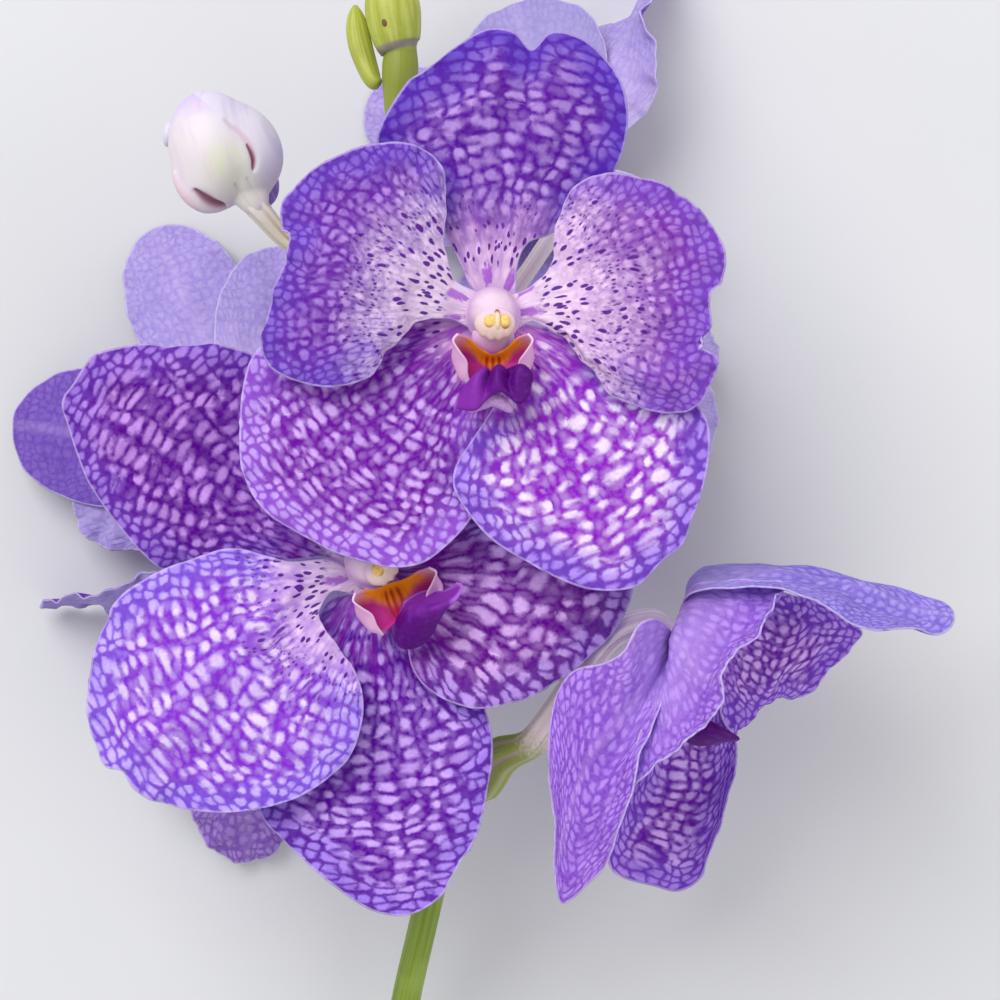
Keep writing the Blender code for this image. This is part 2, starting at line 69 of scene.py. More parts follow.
EGG_TURN = 156
TEPAL_THICK = 0.8
MARGIN_THICK = 0.36
VEIN_RELIEF = 0.09
LIP_EDGE_THICK = 0.4
LIP_CUP_THICK = 0.55
LIP_LOBE_THICK = 1.0

# Fineness: cells along and across a traced tepal and a rear one, where the part has 8 by 6 and 6 by 4
FRONT_CELLS = (64, 48)
REAR_CELLS = (54, 36)
# Points along and across the lip's cup and its mid-lobe, places along the stem, and rings of the round pieces
CUP_POINTS = (44, 64)
LOBE_POINTS = (40, 80)
COLUMN_POINTS = (30, 48)
STEM_STEPS = 22
STEM_RINGS = 160
BUD_STALK_RINGS = 80
TUBE_RINGS = 60
SKIN_RINGS = 130
SKIN_AROUND = 180
# Margin places lie about this far apart, which the ruffles count by
MARGIN_STEP = 0.85

# Stem, from its cut end to its tip
STEM_PATH = [
    (345, 1480, 3.9), (352, 1400, 5.5), (372, 1200, 15), (406, 1000, 27), (428, 905, 35), (450, 800, 43),
    (465, 700, 49), (470, 600, 53), (462, 500, 55), (447, 400, 56), (425, 300, 56), (405, 200, 55),
    (395, 128, 53),
]

# Front flower: margins, clockwise as its face is seen
FRONT_MARGINS = {
    "dorsal_sepal": [
        (462, 266, 85), (447, 236, 84), (428, 195, 83.5), (388, 160, 84.5), (378, 135, 86), (402, 90, 88),
        (425, 71, 89), (478, 33, 89.5), (510, 31, 90), (531, 50, 88), (553, 32, 90), (592, 46, 89),
        (622, 85, 88), (626, 135, 86), (605, 185, 84), (556, 230, 84), (529, 242, 84.5), (517, 264, 85),
    ],
    "petal_left": [
        (447, 318, 88), (418, 322, 90), (393, 345, 91), (370, 375, 92), (338, 386, 92), (300, 382, 92),
        (267, 363, 91), (263, 335, 91), (275, 290, 92), (290, 242, 94), (281, 220, 92), (288, 195, 92),
        (325, 162, 93), (380, 143, 93), (425, 150, 92), (445, 180, 91), (444, 240, 90), (453, 278, 88),
    ],
    "petal_right": [
        (530, 287, 88), (550, 268, 90), (557, 225, 91), (569, 195, 92), (593, 176, 93), (634, 176, 93),
        (675, 191, 92), (708, 220, 92), (725, 254, 92), (721, 284, 91), (710, 296, 93), (711, 328, 92),
        (699, 345, 94), (716, 358, 92), (711, 385, 91), (687, 411, 91), (652, 410, 91), (613, 395, 91),
        (588, 365, 91), (560, 335, 90), (533, 321, 88),
    ],
    "lateral_left": [
        (494, 350, 84), (502, 380, 84), (500, 412, 84), (488, 450, 84), (483, 485, 84), (468, 522, 85),
        (430, 558, 86),
        (400, 567, 86.5), (362, 561, 86), (313, 541, 86), (265, 510, 86), (244, 475, 86), (240, 435, 86.5),
        (244, 385, 86.5), (258, 350, 86), (303, 322, 85), (373, 306, 84), (433, 306, 84),
    ],
    "lateral_right": [
        (532, 326, 85), (575, 334, 85.5), (633, 362, 86), (678, 390, 86.5), (705, 417, 87.5), (709, 450, 88),
        (703, 487, 88), (690, 524, 87.5), (681, 544, 88.5), (660, 563, 89), (637, 585, 88), (602, 590, 88.5),
        (563, 580, 89), (500, 545, 88.5), (470, 515, 88), (454, 485, 88), (459, 460, 87.5), (480, 430, 87),
        (500, 395, 86), (511, 362, 85),
    ],
}

# Lower left flower: margins, clockwise as its face is seen
LOW_LEFT_MARGINS = {
    "dorsal_sepal": [
        (325, 558, 69), (288, 560, 68), (240, 568, 67), (197, 575, 67), (161, 568, 68), (123, 531, 70),
        (98, 497, 71), (81, 464, 72), (67, 422, 73), (63, 400, 74), (73, 385, 72), (87, 363, 74),
        (99, 353, 74), (149, 344, 73), (191, 352, 72), (227, 347, 73), (264, 363, 72), (288, 402, 70),
        (303, 455, 69), (317, 508, 69), (334, 537, 69),
    ],
    "petal_left": [
        (334, 590, 72), (320, 611, 74), (324, 630, 75), (353, 668, 76), (363, 710, 76), (350, 755, 76),
        (326, 779, 76), (290, 800, 77), (231, 812, 77), (173, 806, 76), (137, 791, 77), (122, 771, 79),
        (106, 765, 76), (90, 728, 75), (89, 681, 75), (101, 633, 75), (119, 599, 76), (149, 577, 75),
        (182, 563, 75), (218, 551, 76), (245, 550, 76), (288, 562, 75), (327, 560, 72),
    ],
    "lateral_left": [
        (391, 618, 67), (433, 650, 66.5), (471, 681, 66), (488, 719, 67), (492, 757, 68), (485, 800, 69),
        (476, 836, 70), (461, 860, 71), (443, 893, 71), (410, 914, 70), (375, 911, 70), (344, 893, 70),
        (314, 869, 70), (278, 833, 69), (259, 808, 69), (260, 767, 68), (285, 700, 67), (310, 640, 67),
        (328, 602, 68),
    ],
    "lateral_right": [
        (408, 561, 70), (442, 532, 70), (490, 510, 70), (548, 505, 70), (600, 527, 70), (627, 561, 71),
        (632, 592, 72), (615, 630, 72), (590, 655, 72), (560, 680, 71), (520, 700, 71), (481, 708, 72),
        (442, 698, 72), (416, 674, 71.5), (407, 642, 71), (408, 608, 70),
    ],
    "petal_right": [
        (361, 537, 72), (317, 493, 74), (284, 440, 76), (279, 392, 77), (303, 354, 77), (346, 332, 77),
        (389, 335, 77), (423, 359, 76), (440, 402, 75), (437, 450, 74), (423, 493, 73), (404, 532, 72),
    ],
}

# Lower right flower, which is seen from its side: margins, clockwise as its face is seen
LOW_RIGHT_MARGINS = {
    "dorsal_sepal": [
        (683, 606, 73), (686, 597, 76), (706, 590, 80), (762, 587, 84), (815, 600, 86), (847, 622, 83),
        (875, 630, 80), (915, 629, 75), (941, 634, 71), (954, 620, 67), (944, 602, 63), (900, 594, 57),
        (863, 581, 52), (824, 573, 49), (783, 567, 48), (735, 564, 50), (703, 569, 54), (687, 585, 60),
    ],
    "petal_left": [
        (684, 628, 69), (683, 603, 71), (696, 585, 73), (740, 580, 76), (783, 583, 79), (779, 593, 83),
        (772, 606, 88), (757, 636, 92),
        (729, 659, 95), (723, 678, 96), (722, 703, 95), (707, 723, 93), (667, 757, 90), (634, 781, 87),
        (635, 752, 85), (649, 712, 82), (668, 674, 74),
    ],
    "lateral_left": [
        (679, 662, 72), (672, 683, 79), (657, 715, 85), (641, 752, 88), (634, 785, 88), (607, 861, 80),
        (585, 887, 74), (563, 903, 70), (555, 880, 72), (554, 823, 76), (549, 780, 77), (549, 735, 77),
        (556, 698, 77), (574, 671, 79), (605, 663, 83), (625, 650, 86), (639, 625, 85), (656, 619, 80),
        (671, 632, 74),
    ],
    "lateral_right": [
        (684, 676, 60), (650, 760, 45), (628, 797, 43), (611, 839, 42), (609, 864, 41),
        (622, 877, 40), (655, 886, 40), (678, 891, 40), (700, 878, 41), (713, 845, 42), (727, 803, 43),
        (737, 755, 44), (733, 716, 47), (706, 682, 51),
    ],
    "petal_right": [
        (714, 676, 56), (721, 712, 52), (734, 736, 47), (741, 716, 44), (757, 704, 40), (776, 698, 36),
        (808, 695, 32), (824, 676, 32), (856, 643, 33), (860, 629, 34), (826, 606, 38), (797, 596, 43),
        (755, 590, 49), (718, 606, 56),
    ],
}

# Rear flowers: each tepal as where its tip is seen, across and down, then its width in millimetres,
# its twist in degrees and how far its middle sweeps sideways in millimetres
REAR_LEFT_TEPALS = {
    "dorsal_sepal": (13, 424, 31, 0, 0), "petal_left": (154, 229, 28, 0, 0),
    "petal_right": (76, 520, 22, 0, 0), "lateral_left": (287, 246, 28, 0, 0),
    "lateral_right": (436, 482, 28, 0, 0),
}
REAR_TOP_TEPALS = {
    "dorsal_sepal": (514, 3, 33, 0, 0), "petal_left": (366, 106, 26, 0, 0),
    "petal_right": (668, -52, 28, 84, 0), "lateral_left": (402, 212, 22, 0, 0),
    "lateral_right": (664, 266, 22, 0, 0),
}
REAR_RIGHT_TEPALS = {
    "dorsal_sepal": (486, 254, 38, 0, 0), "petal_left": (504, 500, 26, 0, 0),
    "petal_right": (690, 305, 30, 0, 0), "lateral_left": (636, 546, 28, 0, 0),
    "lateral_right": (713, 443, 26, 0, 0),
}
REAR_LOW_TEPALS = {
    "dorsal_sepal": (132, 742, 28, 0, 0), "petal_left": (248, 862, 25, 0, 0),
    "petal_right": (40, 606, 22, 84, -5), "lateral_left": (338, 748, 28, 0, 0),
    "lateral_right": (324, 556, 26, 0, 0),
}

# How far the middle of a traced tepal domes out of the smooth sheet between its margins
FRONT_LIFTS = {
    "dorsal_sepal": (0, 0, 1.0), "petal_left": (0, 0, 1.5), "petal_right": (0, 0, 1.5),
    "lateral_left": (0, 0, 0.8), "lateral_right": (0, 0, 1.0),
}
SIDE_LIFTS = {"dorsal_sepal": (0, 1, 0), "lateral_right": (0, 0, -5)}

# The lower left flower's folded mid-lobe, as seen: rows from the throat outward, each from its upper edge
LOW_LEFT_LOBE = [
    [(404, 602, 77), (403, 607, 77), (401, 611, 78), (398, 616, 77), (396, 621, 76)],
    [(413, 596, 77), (414, 604, 79), (413, 611, 83), (404, 628, 80), (396, 638, 76)],
    [(425, 591, 77), (428, 601, 80), (429, 610, 85), (419, 630, 82), (402, 648, 77)],
    [(444, 591, 79), (442, 600, 82), (442, 606, 86), (434, 626, 82), (420, 646, 78)],
    [(457, 583, 85), (463, 587, 86), (455, 601, 86), (442, 613, 83), (434, 632, 80)],
]

# The lower right flower's mid-lobe, as it is seen from its side: rows from the throat outward
LOW_RIGHT_LOBE = [
    [(678, 712, 66), (682, 720, 66), (684, 730, 65), (683, 740, 63)],
    [(696, 715, 67), (700, 725, 68), (700, 736, 67), (696, 745, 64)],
    [(712, 722, 68), (716, 730, 69), (714, 739, 67), (708, 745, 65)],
    [(727, 730, 68), (729, 735, 68), (727, 739, 67), (721, 742, 65)],
    [(738, 737, 67), (739, 739, 67), (738, 740, 66), (733, 741, 65)],
]

# Flowers: middle of the face, the way it faces, its upward way, its stalk's route, its place on the stem
FLOWERS = {
    "front": {
        "middle": (493, 315, 88), "face": (0, 0, 1), "up": (0, 1, 0), "stem_down": 460,
        "route": [(466, 430, 64), (481, 372, 70)], "margins": FRONT_MARGINS, "lifts": FRONT_LIFTS,
    },
    "low_left": {
        "middle": (375, 575, 72), "face": (0.05, 0, 1), "up": (-0.84, 0.54, 0), "stem_down": 690,
        "route": [(437, 665, 54), (398, 612, 58)], "margins": LOW_LEFT_MARGINS, "lifts": FRONT_LIFTS,
        "lip_shift": (3.0, 0.6, 0), "lip_turn": -38, "lip_rise": 3.0, "ear_stretch": 1.28,
        "column_shift": (1.9, 2.0, 0), "own_lobe": LOW_LEFT_LOBE,
    },
    "low_right": {
        "middle": (692, 652, 66), "face": (0.82, -0.56, -0.1), "up": (0.56, 0.82, 0.05), "stem_down": 775,
        "route": [(500, 757, 50), (530, 744, 54), (556, 712, 60), (590, 662, 66), (622, 628, 68)],
        "margins": LOW_RIGHT_MARGINS, "lifts": SIDE_LIFTS, "ruffle": 0.5, "column_shift": (0, 0, -3),
        # Its mid-lobe takes the shaded dark end of the lip's painted light and shade
        "own_lobe": LOW_RIGHT_LOBE, "dark_lobe": True,
        "stalk_radii": (3.9, 4.0, 4.0, 3.0, 2.9, 3.2, 3.8),
        "backs_up": ("dorsal_sepal", "petal_left", "lateral_left"),
    },
    "rear_left": {
        "middle": (262, 460, 28), "face": (-0.1, 0, -1), "up": (-1, 0.1, 0), "stem_down": 510,
        "route": [(420, 485, 55), (350, 466, 52), (300, 461, 46)], "tepals": REAR_LEFT_TEPALS, "cup": 0.64,
    },
    "rear_top": {
        "middle": (566, 165, 28), "face": (0.05, 0.1, -1), "up": (-0.3, 0.95, 0), "stem_down": 400,
        "route": [(480, 345, 50), (525, 275, 49), (556, 226, 47)], "tepals": REAR_TOP_TEPALS, "cup": 0.72,
    },
    "rear_right": {
        "middle": (596, 402, 27), "face": (0.1, -0.05, -1), "up": (-0.6, 0.8, 0), "stem_down": 580,
        "route": [(505, 540, 50), (555, 455, 46)], "tepals": REAR_RIGHT_TEPALS, "cup": 0.72,
    },
    "rear_low": {
        "middle": (236, 652, 28), "face": (-0.1, -0.05, -1), "up": (-0.75, -0.66, 0), "stem_down": 745,
        "route": [(400, 735, 45), (320, 692, 44), (268, 661, 42)], "tepals": REAR_LOW_TEPALS, "cup": 0.72,
    },
}
CLAW_WIDTHS = {
    "dorsal_sepal": 8.6, "petal_left": 7.0, "petal_right": 7.0, "lateral_left": 8.0, "lateral_right": 8.0,
}
CLAW_LEVELS = {
    "dorsal_sepal": DORSAL_LEVEL, "petal_left": PETAL_LEVEL, "petal_right": PETAL_LEVEL,
    "lateral_left": LATERAL_LEFT_LEVEL, "lateral_right": LATERAL_RIGHT_LEVEL,
}

# Buds: each place along one, with its radius there in millimetres
OPENING_BUD_DOWN = 288
OPENING_BUD = [
    ((372, 276, 61), 1.8), ((325, 262, 63), 1.8), ((290, 243, 65), 2.1), ((262, 213, 68), 2.7),
    ((251, 199, 68), 2.9),
]
BUD_NECK = (243, 178, 64)
BUD_NECK_RADIUS = 2.4
BUD_STALK_SHARE = 0.84
# The bud's middle, the eggs that its skin wraps, its hind tepal and tip: place, half sizes and turn
BUD_MIDDLE = (222, 147, 68)
BUD_TURN = 17
BUD_EGGS = [
    ((213, 147, 68.5), (9.2, 11.8, 10.4), 12), ((239, 149, 67), (8.6, 10.4, 9.4), 36),
    ((210, 173, 68), (7.7, 8.2, 8.2), 0), ((244, 175, 67), (5.0, 6.4, 6.6), 30),
    ((248, 192, 68.5), (3.4, 5.6, 3.2), 34),
]
BUD_HIND_EGGS = [((257, 183, 60), (4.6, 5.6, 5.0), 20, 3), ((169, 134, 69), (1.2, 2.7, 2.6), -10, 2)]
# Folds in its skin: line as seen, half width and depth in millimetres, painted shade in it (below zero,
# painted light)
BUD_FOLDS = [
    ([(230, 126), (237, 132), (246, 139), (254, 150), (258, 162), (257, 174)], 1.2, 0.45, 0.3),
    ([(252, 150), (256, 158), (258, 166), (257, 174)], 0.5, 0.45, 0.45),
    ([(198, 195), (204, 200), (210, 204), (217, 207), (226, 208)], 1.15, 0.9, 0.68),
    ([(178, 176), (183, 190), (194, 204), (211, 213), (229, 209)], 0.9, -0.7, -0.15),
    ([(207, 91), (204, 102), (206, 118)], 0.6, 0.3, 0.15),
    ([(238, 188), (245, 199), (255, 211)], 0.5, 0.3, 0.22),
    ([(250, 182), (256, 193), (264, 205)], 0.5, 0.3, 0.22),
]
LARGE_GREEN_BUD = [
    ((395, 125.5, 53), 2.1), ((395.5, 115, 53), 2.3), ((397, 98, 53), 3.0), ((399, 82, 53), 3.7),
    ((400, 66, 53), 3.9), ((400, 52, 53), 3.6), ((398, 46, 53), 4.6), ((395, 30, 53), 5.6),
    ((392, 8, 53), 6.0), ((390, -14, 53), 5.0), ((389, -30, 53), 2.8), ((389, -37, 53), 0.8),
]
SLENDER_GREEN_BUD = [
    ((378, 84, 52.5), 1.3), ((372, 79, 52), 1.9), ((365, 62, 51), 2.4), ((359, 42, 51), 2.6),
    ((356, 22, 51), 2.2), ((355, 7, 51), 0.7),
]

# A stalk's radius at these shares of its length, from the stem to the flower
STALK_SHARES = (0, 0.06, 0.18, 0.30, 0.75, 0.9, 1)
STALK_RADII = (2.6, 2.1, 1.8, 1.75, 1.85, 2.9, 3.6)

# The brown mark on the large green bud
BUD_MARK = (385, 22, 58.4)
BUD_MARK_HALF = (0.7, 1.0, 0.35)

# How a kind of tepal waves: margin ruffle, its length, swell of the blade, its length, depth of the midrib
WAVES = {
    "dorsal": (0.35, 15.0, 0.5, 17.0, 0.35),
    "petal": (0.65, 9.5, 0.5, 14.0, 0.2),
    "lateral": (0.45, 13.0, 0.6, 16.0, 0.3),
}
FLOW_BACK = 5.0

# Lip cup, middle outward: half of each cross-section from the column to the neck, in the flower's own frame
LIP_CUP = [
    [(0, -7.9, 3.0), (1.6, -7.6, 3.4), (3.3, -6.5, 4.8), (5.0, -5.0, 6.8), (7.1, -4.4, 9.0)],
    [(0, -8.9, 1.8), (2.0, -8.7, 2.0), (4.6, -7.9, 3.2), (7.0, -6.4, 5.4), (7.9, -5.7, 8.8)],
    [(0, -9.9, 1.3), (2.2, -9.9, 1.5), (5.2, -9.5, 2.5), (8.0, -8.5, 4.8), (6.6, -7.8, 8.4)],
    [(0, -11.4, 1.8), (2.0, -11.4, 2.0), (4.8, -11.4, 2.8), (7.5, -10.6, 4.6), (5.2, -9.8, 7.6)],
    [(0, -12.0, 2.8), (1.8, -12.2, 2.8), (4.0, -12.8, 3.4), (6.4, -12.9, 4.4), (5.0, -12.2, 6.4)],
    [(0, -12.4, 4.6), (1.4, -12.8, 4.4), (3.0, -13.6, 4.2), (4.6, -14.4, 4.4), (4.4, -14.2, 5.2)],
]

# Lip mid-lobe from left to right: throat end, humps, ridge, front edge and the edge turned under
MID_LOBE = [
    [(-2.6, -12.4, 4.6), (-1.9, -12.2, 5.0), (-1.2, -12.0, 5.4), (-0.6, -12.0, 5.4), (0.2, -11.8, 5.8),
     (0.9, -12.0, 5.4), (1.5, -12.0, 5.4), (2.1, -12.2, 5.0), (2.6, -12.4, 4.6)],
    [(-6.2, -15.8, 7.8), (-4.4, -13.8, 8.8), (-1.8, -11.5, 10.2), (-0.6, -12.5, 8.4), (1.2, -10.9, 10.6),
     (3.2, -12.2, 8.4), (5.4, -10.8, 10.4), (7.0, -11.8, 9.6), (7.4, -13.2, 8.6)],
    [(-7.1, -17.4, 8.6), (-5.2, -15.9, 10.0), (-3.0, -13.8, 11.2), (-1.1, -14.2, 9.6), (0.9, -12.9, 12.2),
     (2.9, -13.9, 9.9), (5.0, -12.8, 11.4), (6.8, -13.4, 10.2), (7.5, -14.4, 8.8)],
    [(-7.6, -18.6, 8.8), (-5.5, -19.0, 10.0), (-3.3, -18.9, 11.2), (-1.2, -16.9, 11.0), (1.4, -15.4, 12.3),
     (3.3, -16.4, 11.0), (5.1, -17.7, 11.0), (6.6, -16.8, 10.2), (7.3, -15.4, 9.0)],
    [(-7.2, -18.9, 8.0), (-5.3, -19.1, 8.8), (-3.3, -18.6, 9.8), (-1.1, -16.9, 9.8), (1.4, -15.8, 11.0),
     (3.3, -16.8, 9.8), (5.0, -17.9, 9.6), (6.3, -16.9, 9.0), (6.9, -15.6, 8.2)],
]

LIP_UNDERSIDE = [
    (-4.6, -19.2, 7.0), (-2.6, -18.2, 7.6), (-0.4, -17.3, 8.0), (1.6, -17.9, 7.8), (3.4, -19.3, 7.2),
]
LIP_UNDERSIDE_RADIUS = 1.5

# Column profile: radius and height above the flower's middle
COLUMN_PROFILE = [
    (4.6, -2.6), (5.2, -1.6), (5.6, -0.9), (5.45, 0.2), (5.25, 1.5), (5.05, 3.0), (4.6, 4.6), (3.7, 6.1),
    (2.0, 7.1), (0.0, 7.5),
]

# Pieces of the lip and the column in the flower's own frame: places, and half sizes of the eggs
SPUR = [(0, -3.0, -0.2), (0, -4.6, -1.2), (0, -6.0, -3.2), (0, -6.6, -5.6), (0, -6.4, -7.6)]
FOOT_MIDDLE = (0, -4.6, 1.8)
FOOT_HALF = (4.3, 3.9, 2.9)
CAP_MIDDLE = (0.4, -2.2, 6.9)
CAP_HALF = (4.1, 3.3, 1.5)
POLLEN = [((-0.45, -1.9, 8.3), (1.4, 1.5, 0.8)), ((2.3, -1.9, 8.3), (1.2, 1.5, 0.8))]
BEAK = [(0.9, -3.2, 8.5), (0.95, -2.6, 8.9), (0.95, -1.7, 9.1), (0.9, -0.6, 8.9), (0.85, 0.2, 8.2)]


def colour(code):
    """A six-digit hexadecimal colour as linear red, green, blue and alpha."""
    parts = [int(code[index:index + 2], 16) / 255 for index in (0, 2, 4)]
    return (*[part / 12.92 if part <= 0.04045 else ((part + 0.055) / 1.055) ** 2.4 for part in parts], 1)


def unit(vector):
    return vector / np.maximum(np.linalg.norm(vector, axis=-1, keepdims=True), 1e-9)


def unit_at(height):
    """How wide a view unit is at this height."""
    return VIEW_UNIT * (EYE_HEIGHT - height) / (EYE_HEIGHT - FACE_HEIGHT)


def spot(place):
    """The point, in millimetres, that the eye sees at this place."""
    across, down, height = place
    size = unit_at(height)
    return np.array([(across - VIEW_CENTRE) * size, (VIEW_CENTRE - down) * size, height])


def spots(places):
    return [spot(place) for place in places]


def lengths_along(points):
    """How far along their line these points are."""
    return np.concatenate([[0], np.cumsum(np.linalg.norm(np.diff(points, axis=0), axis=1))])


def smooth_points(points, count):
    """Count points, evenly apart by chord length, on a smooth open curve through these points."""
    points = np.array(points, float)
    lengths = lengths_along(points)
    wanted = np.linspace(0, lengths[-1], count)
    span = np.clip(np.searchsorted(lengths, wanted) - 1, 0, len(points) - 2)
    part = ((wanted - lengths[span]) / (lengths[span + 1] - lengths[span]))[:, None]
    before = points[np.maximum(span - 1, 0)]
    start = points[span]
    end = points[span + 1]
    after = points[np.minimum(span + 2, len(points) - 1)]
    square = (2 * before - 5 * start + 4 * end - after) * part ** 2
    cube = (3 * start - before - 3 * end + after) * part ** 3
    return 0.5 * (2 * start + (end - before) * part + square + cube)


def smooth_radii(shares, radii, fine):
    """A radius for each ring of a long tube, on a smooth curve through these."""
    curve = smooth_points([(share, radius, 0) for share, radius in zip(shares, radii)], fine)
    return np.interp(np.linspace(0, 1, TUBE_RINGS), curve[:, 0], curve[:, 1])


def smooth_grid(control, rows, columns):
    """A fine grid through a coarse one."""
    lines = np.stack([smooth_points(line, columns) for line in control], axis=1)
    return np.stack([smooth_points(places, rows) for places in lines], axis=1)


def patch(left, right, base, tip, lift):
    """A smooth grid of points between four lines that meet at their ends, domed by lift at its middle."""
    along = np.linspace(0, 1, len(left))[:, None, None]
    across = np.linspace(0, 1, len(base))[None, :, None]
    sides = left[:, None] * (1 - across) + right[:, None] * across
    ends = base[None] * (1 - along) + tip[None] * along
    start = left[0] * (1 - across) + right[0] * across
    stop = left[-1] * (1 - across) + right[-1] * across
    dome = 16 * along * (1 - along) * across * (1 - across)
    return sides + ends - start * (1 - along) - stop * along + lift * dome


def tepal_grid(claw_start, margin, claw_end, cells, lift):
    """A grid of points from the claw to the tip, inside this margin."""
    rows, columns = cells
    around = smooth_points([claw_start, *margin, claw_end], 2 * rows + columns + 1)
    base = claw_start + (claw_end - claw_start) * np.linspace(0, 1, columns + 1)[:, None]
    tip = around[rows:rows + columns + 1]
    return patch(around[:rows + 1], around[rows + columns:][::-1], base, tip, lift)


def flower_frame(flower):
    """The flower's middle and its right, up and face directions."""
    face = unit(np.array(flower["face"], float))
    up = np.array(flower["up"], float)
    up = unit(up - face * (up @ face))
    return spot(flower["middle"]), np.cross(up, face), up, face


def in_flower(flower, points):
    """Points of the flower's own frame in the spray's millimetres."""
    middle, right, up, face = flower_frame(flower)
    points = np.array(points, float)
    return middle + points[..., :1] * right + points[..., 1:2] * up + points[..., 2:] * face


def claw_line(flower, name, toward, start, end):
    """The two ends of a tepal's claw, in the order of its margin's ends."""
    middle, _, _, face = flower_frame(flower)
    out = toward - middle
    out = unit(out - face * (out @ face))
    side = np.cross(face, out)
    if side @ (end - start) < 0:
        side = -side
    half = side * CLAW_WIDTHS[name] / 2
    root = middle + out * CLAW_RADIUS + face * CLAW_LEVELS[name]
    return root - half, root + half


def unrolled(grid):
    """Each grid point's way sideways and forward from the claw, measured along the sheet."""
    middle = grid.shape[1] // 2
    steps = np.linalg.norm(np.diff(grid, axis=1), axis=2)
    sideways = np.concatenate([np.zeros((len(grid), 1)), np.cumsum(steps, axis=1)], axis=1)
    sideways = sideways - sideways[:, middle:middle + 1]
    forward = lengths_along(grid[:, middle])[:, None]
    return np.stack([sideways, np.broadcast_to(forward, sideways.shape)], axis=2)


def traced_tepal(flower, name):
    """A tepal's grid and its flat layout, from its margin."""
    margin = np.array(spots(flower["margins"][name]))
    toward = margin.mean(axis=0)
    claw_start, claw_end = claw_line(flower, name, toward, margin[0], margin[-1])
    lift = np.array(flower["lifts"].get(name, (0, 0, 0)), float)
    grid = tepal_grid(claw_start, margin, claw_end, FRONT_CELLS, lift)
    face = flower_frame(flower)[3]
    if face[2] < 0.9:
        return grid, unrolled(grid)
    root = (claw_start + claw_end) / 2
    out = toward - root
    out = unit(out - face * (out @ face))
    side = np.cross(out, face)
    return grid, np.stack([(grid - root) @ side, (grid - root) @ out], axis=2)


def cup_height(flower, level, radius):
    """How far in front of the flower's middle its cup lies at this radius, for a tepal at this level."""
    return level + flower["cup"] * radius * radius / (radius + CUP_FLAT_RADIUS)


def tip_in_cup(flower, level, across, down):
    """Where the flower's cup, at this level, is seen at this place, as a vector in its face plane."""
    middle, _, _, face = flower_frame(flower)
    point = spot((across, down, middle[2]))
    for _ in range(8):
        out = point - middle
        out = out - face * (out @ face)
        height = (middle + out + face * cup_height(flower, level, np.linalg.norm(out)))[2]
        point = spot((across, down, height))
    return out


def cupped_tepal(flower, name):
    """A rear tepal's grid and its flat layout, from its tip, width, twist and sweep."""
    across_tip, down_tip, width, twist, sweep = flower["tepals"][name]
    middle, _, _, face = flower_frame(flower)
    level = CLAW_LEVELS[name]
    out = tip_in_cup(flower, level, across_tip, down_tip)
    length = np.linalg.norm(out) - CLAW_RADIUS
    out = unit(out)
    side = np.cross(out, face)
    margin = []
    for turn in np.radians(np.linspace(-EGG_TURN, EGG_TURN, EGG_POINTS)):
        forward = CLAW_RADIUS + length * (1 + math.cos(turn)) / 2
        margin.append(out * forward + side * math.sin(turn) * (1 + 0.2 * math.cos(turn)) * width / 2)
    half_claw = side * CLAW_WIDTHS[name] / 2
    root = out * CLAW_RADIUS
    flat = tepal_grid(root - half_claw, margin, root + half_claw, REAR_CELLS, np.zeros(3))
    sideways = flat @ side
    onward = flat @ out - CLAW_RADIUS
    forward = onward / length
    turn = np.radians(twist * np.clip(TWIST_RATE * (forward - TWIST_START), 0, 1))
    shift = sweep * 4 * forward * (1 - forward) - sideways * (1 - np.cos(turn))
    turned = flat + side * shift[..., None]
    height = cup_height(flower, level, np.linalg.norm(turned, axis=2)) + sideways * np.sin(turn)
    grid = middle + turned + face * height[..., None]
    depth = grid[..., 2] - TEPAL_THICK / 2
    grid[..., 2] = TEPAL_THICK / 2 + 0.5 * (depth + np.sqrt(depth ** 2 + FLOOR_EASE ** 2))
    return grid, np.stack([sideways, onward], axis=2)


def grid_normals(grid):
    return unit(np.cross(np.gradient(grid, axis=1), np.gradient(grid, axis=0)))


def loop_of(rows, columns):
    """The rows and columns of the grid's outer places in order, along row 0 first."""
    top = [(0, column) for column in range(columns)]
    right = [(row, columns - 1) for row in range(1, rows)]
    bottom = [(rows - 1, column) for column in range(columns - 2, -1, -1)]
    left = [(row, 0) for row in range(rows - 2, 0, -1)]
    return np.array(top + right + bottom + left).T


def margin_distance(grid, open_base):
    """How far each place is from the sheet's free margin, and the nearest margin place's number."""
    loop = loop_of(*grid.shape[:2])
    if open_base:
        loop = loop[:, grid.shape[1]:]
    apart = np.linalg.norm(grid[:, :, None] - grid[tuple(loop)][None, None], axis=3)
    return apart.min(axis=2), apart.argmin(axis=2)


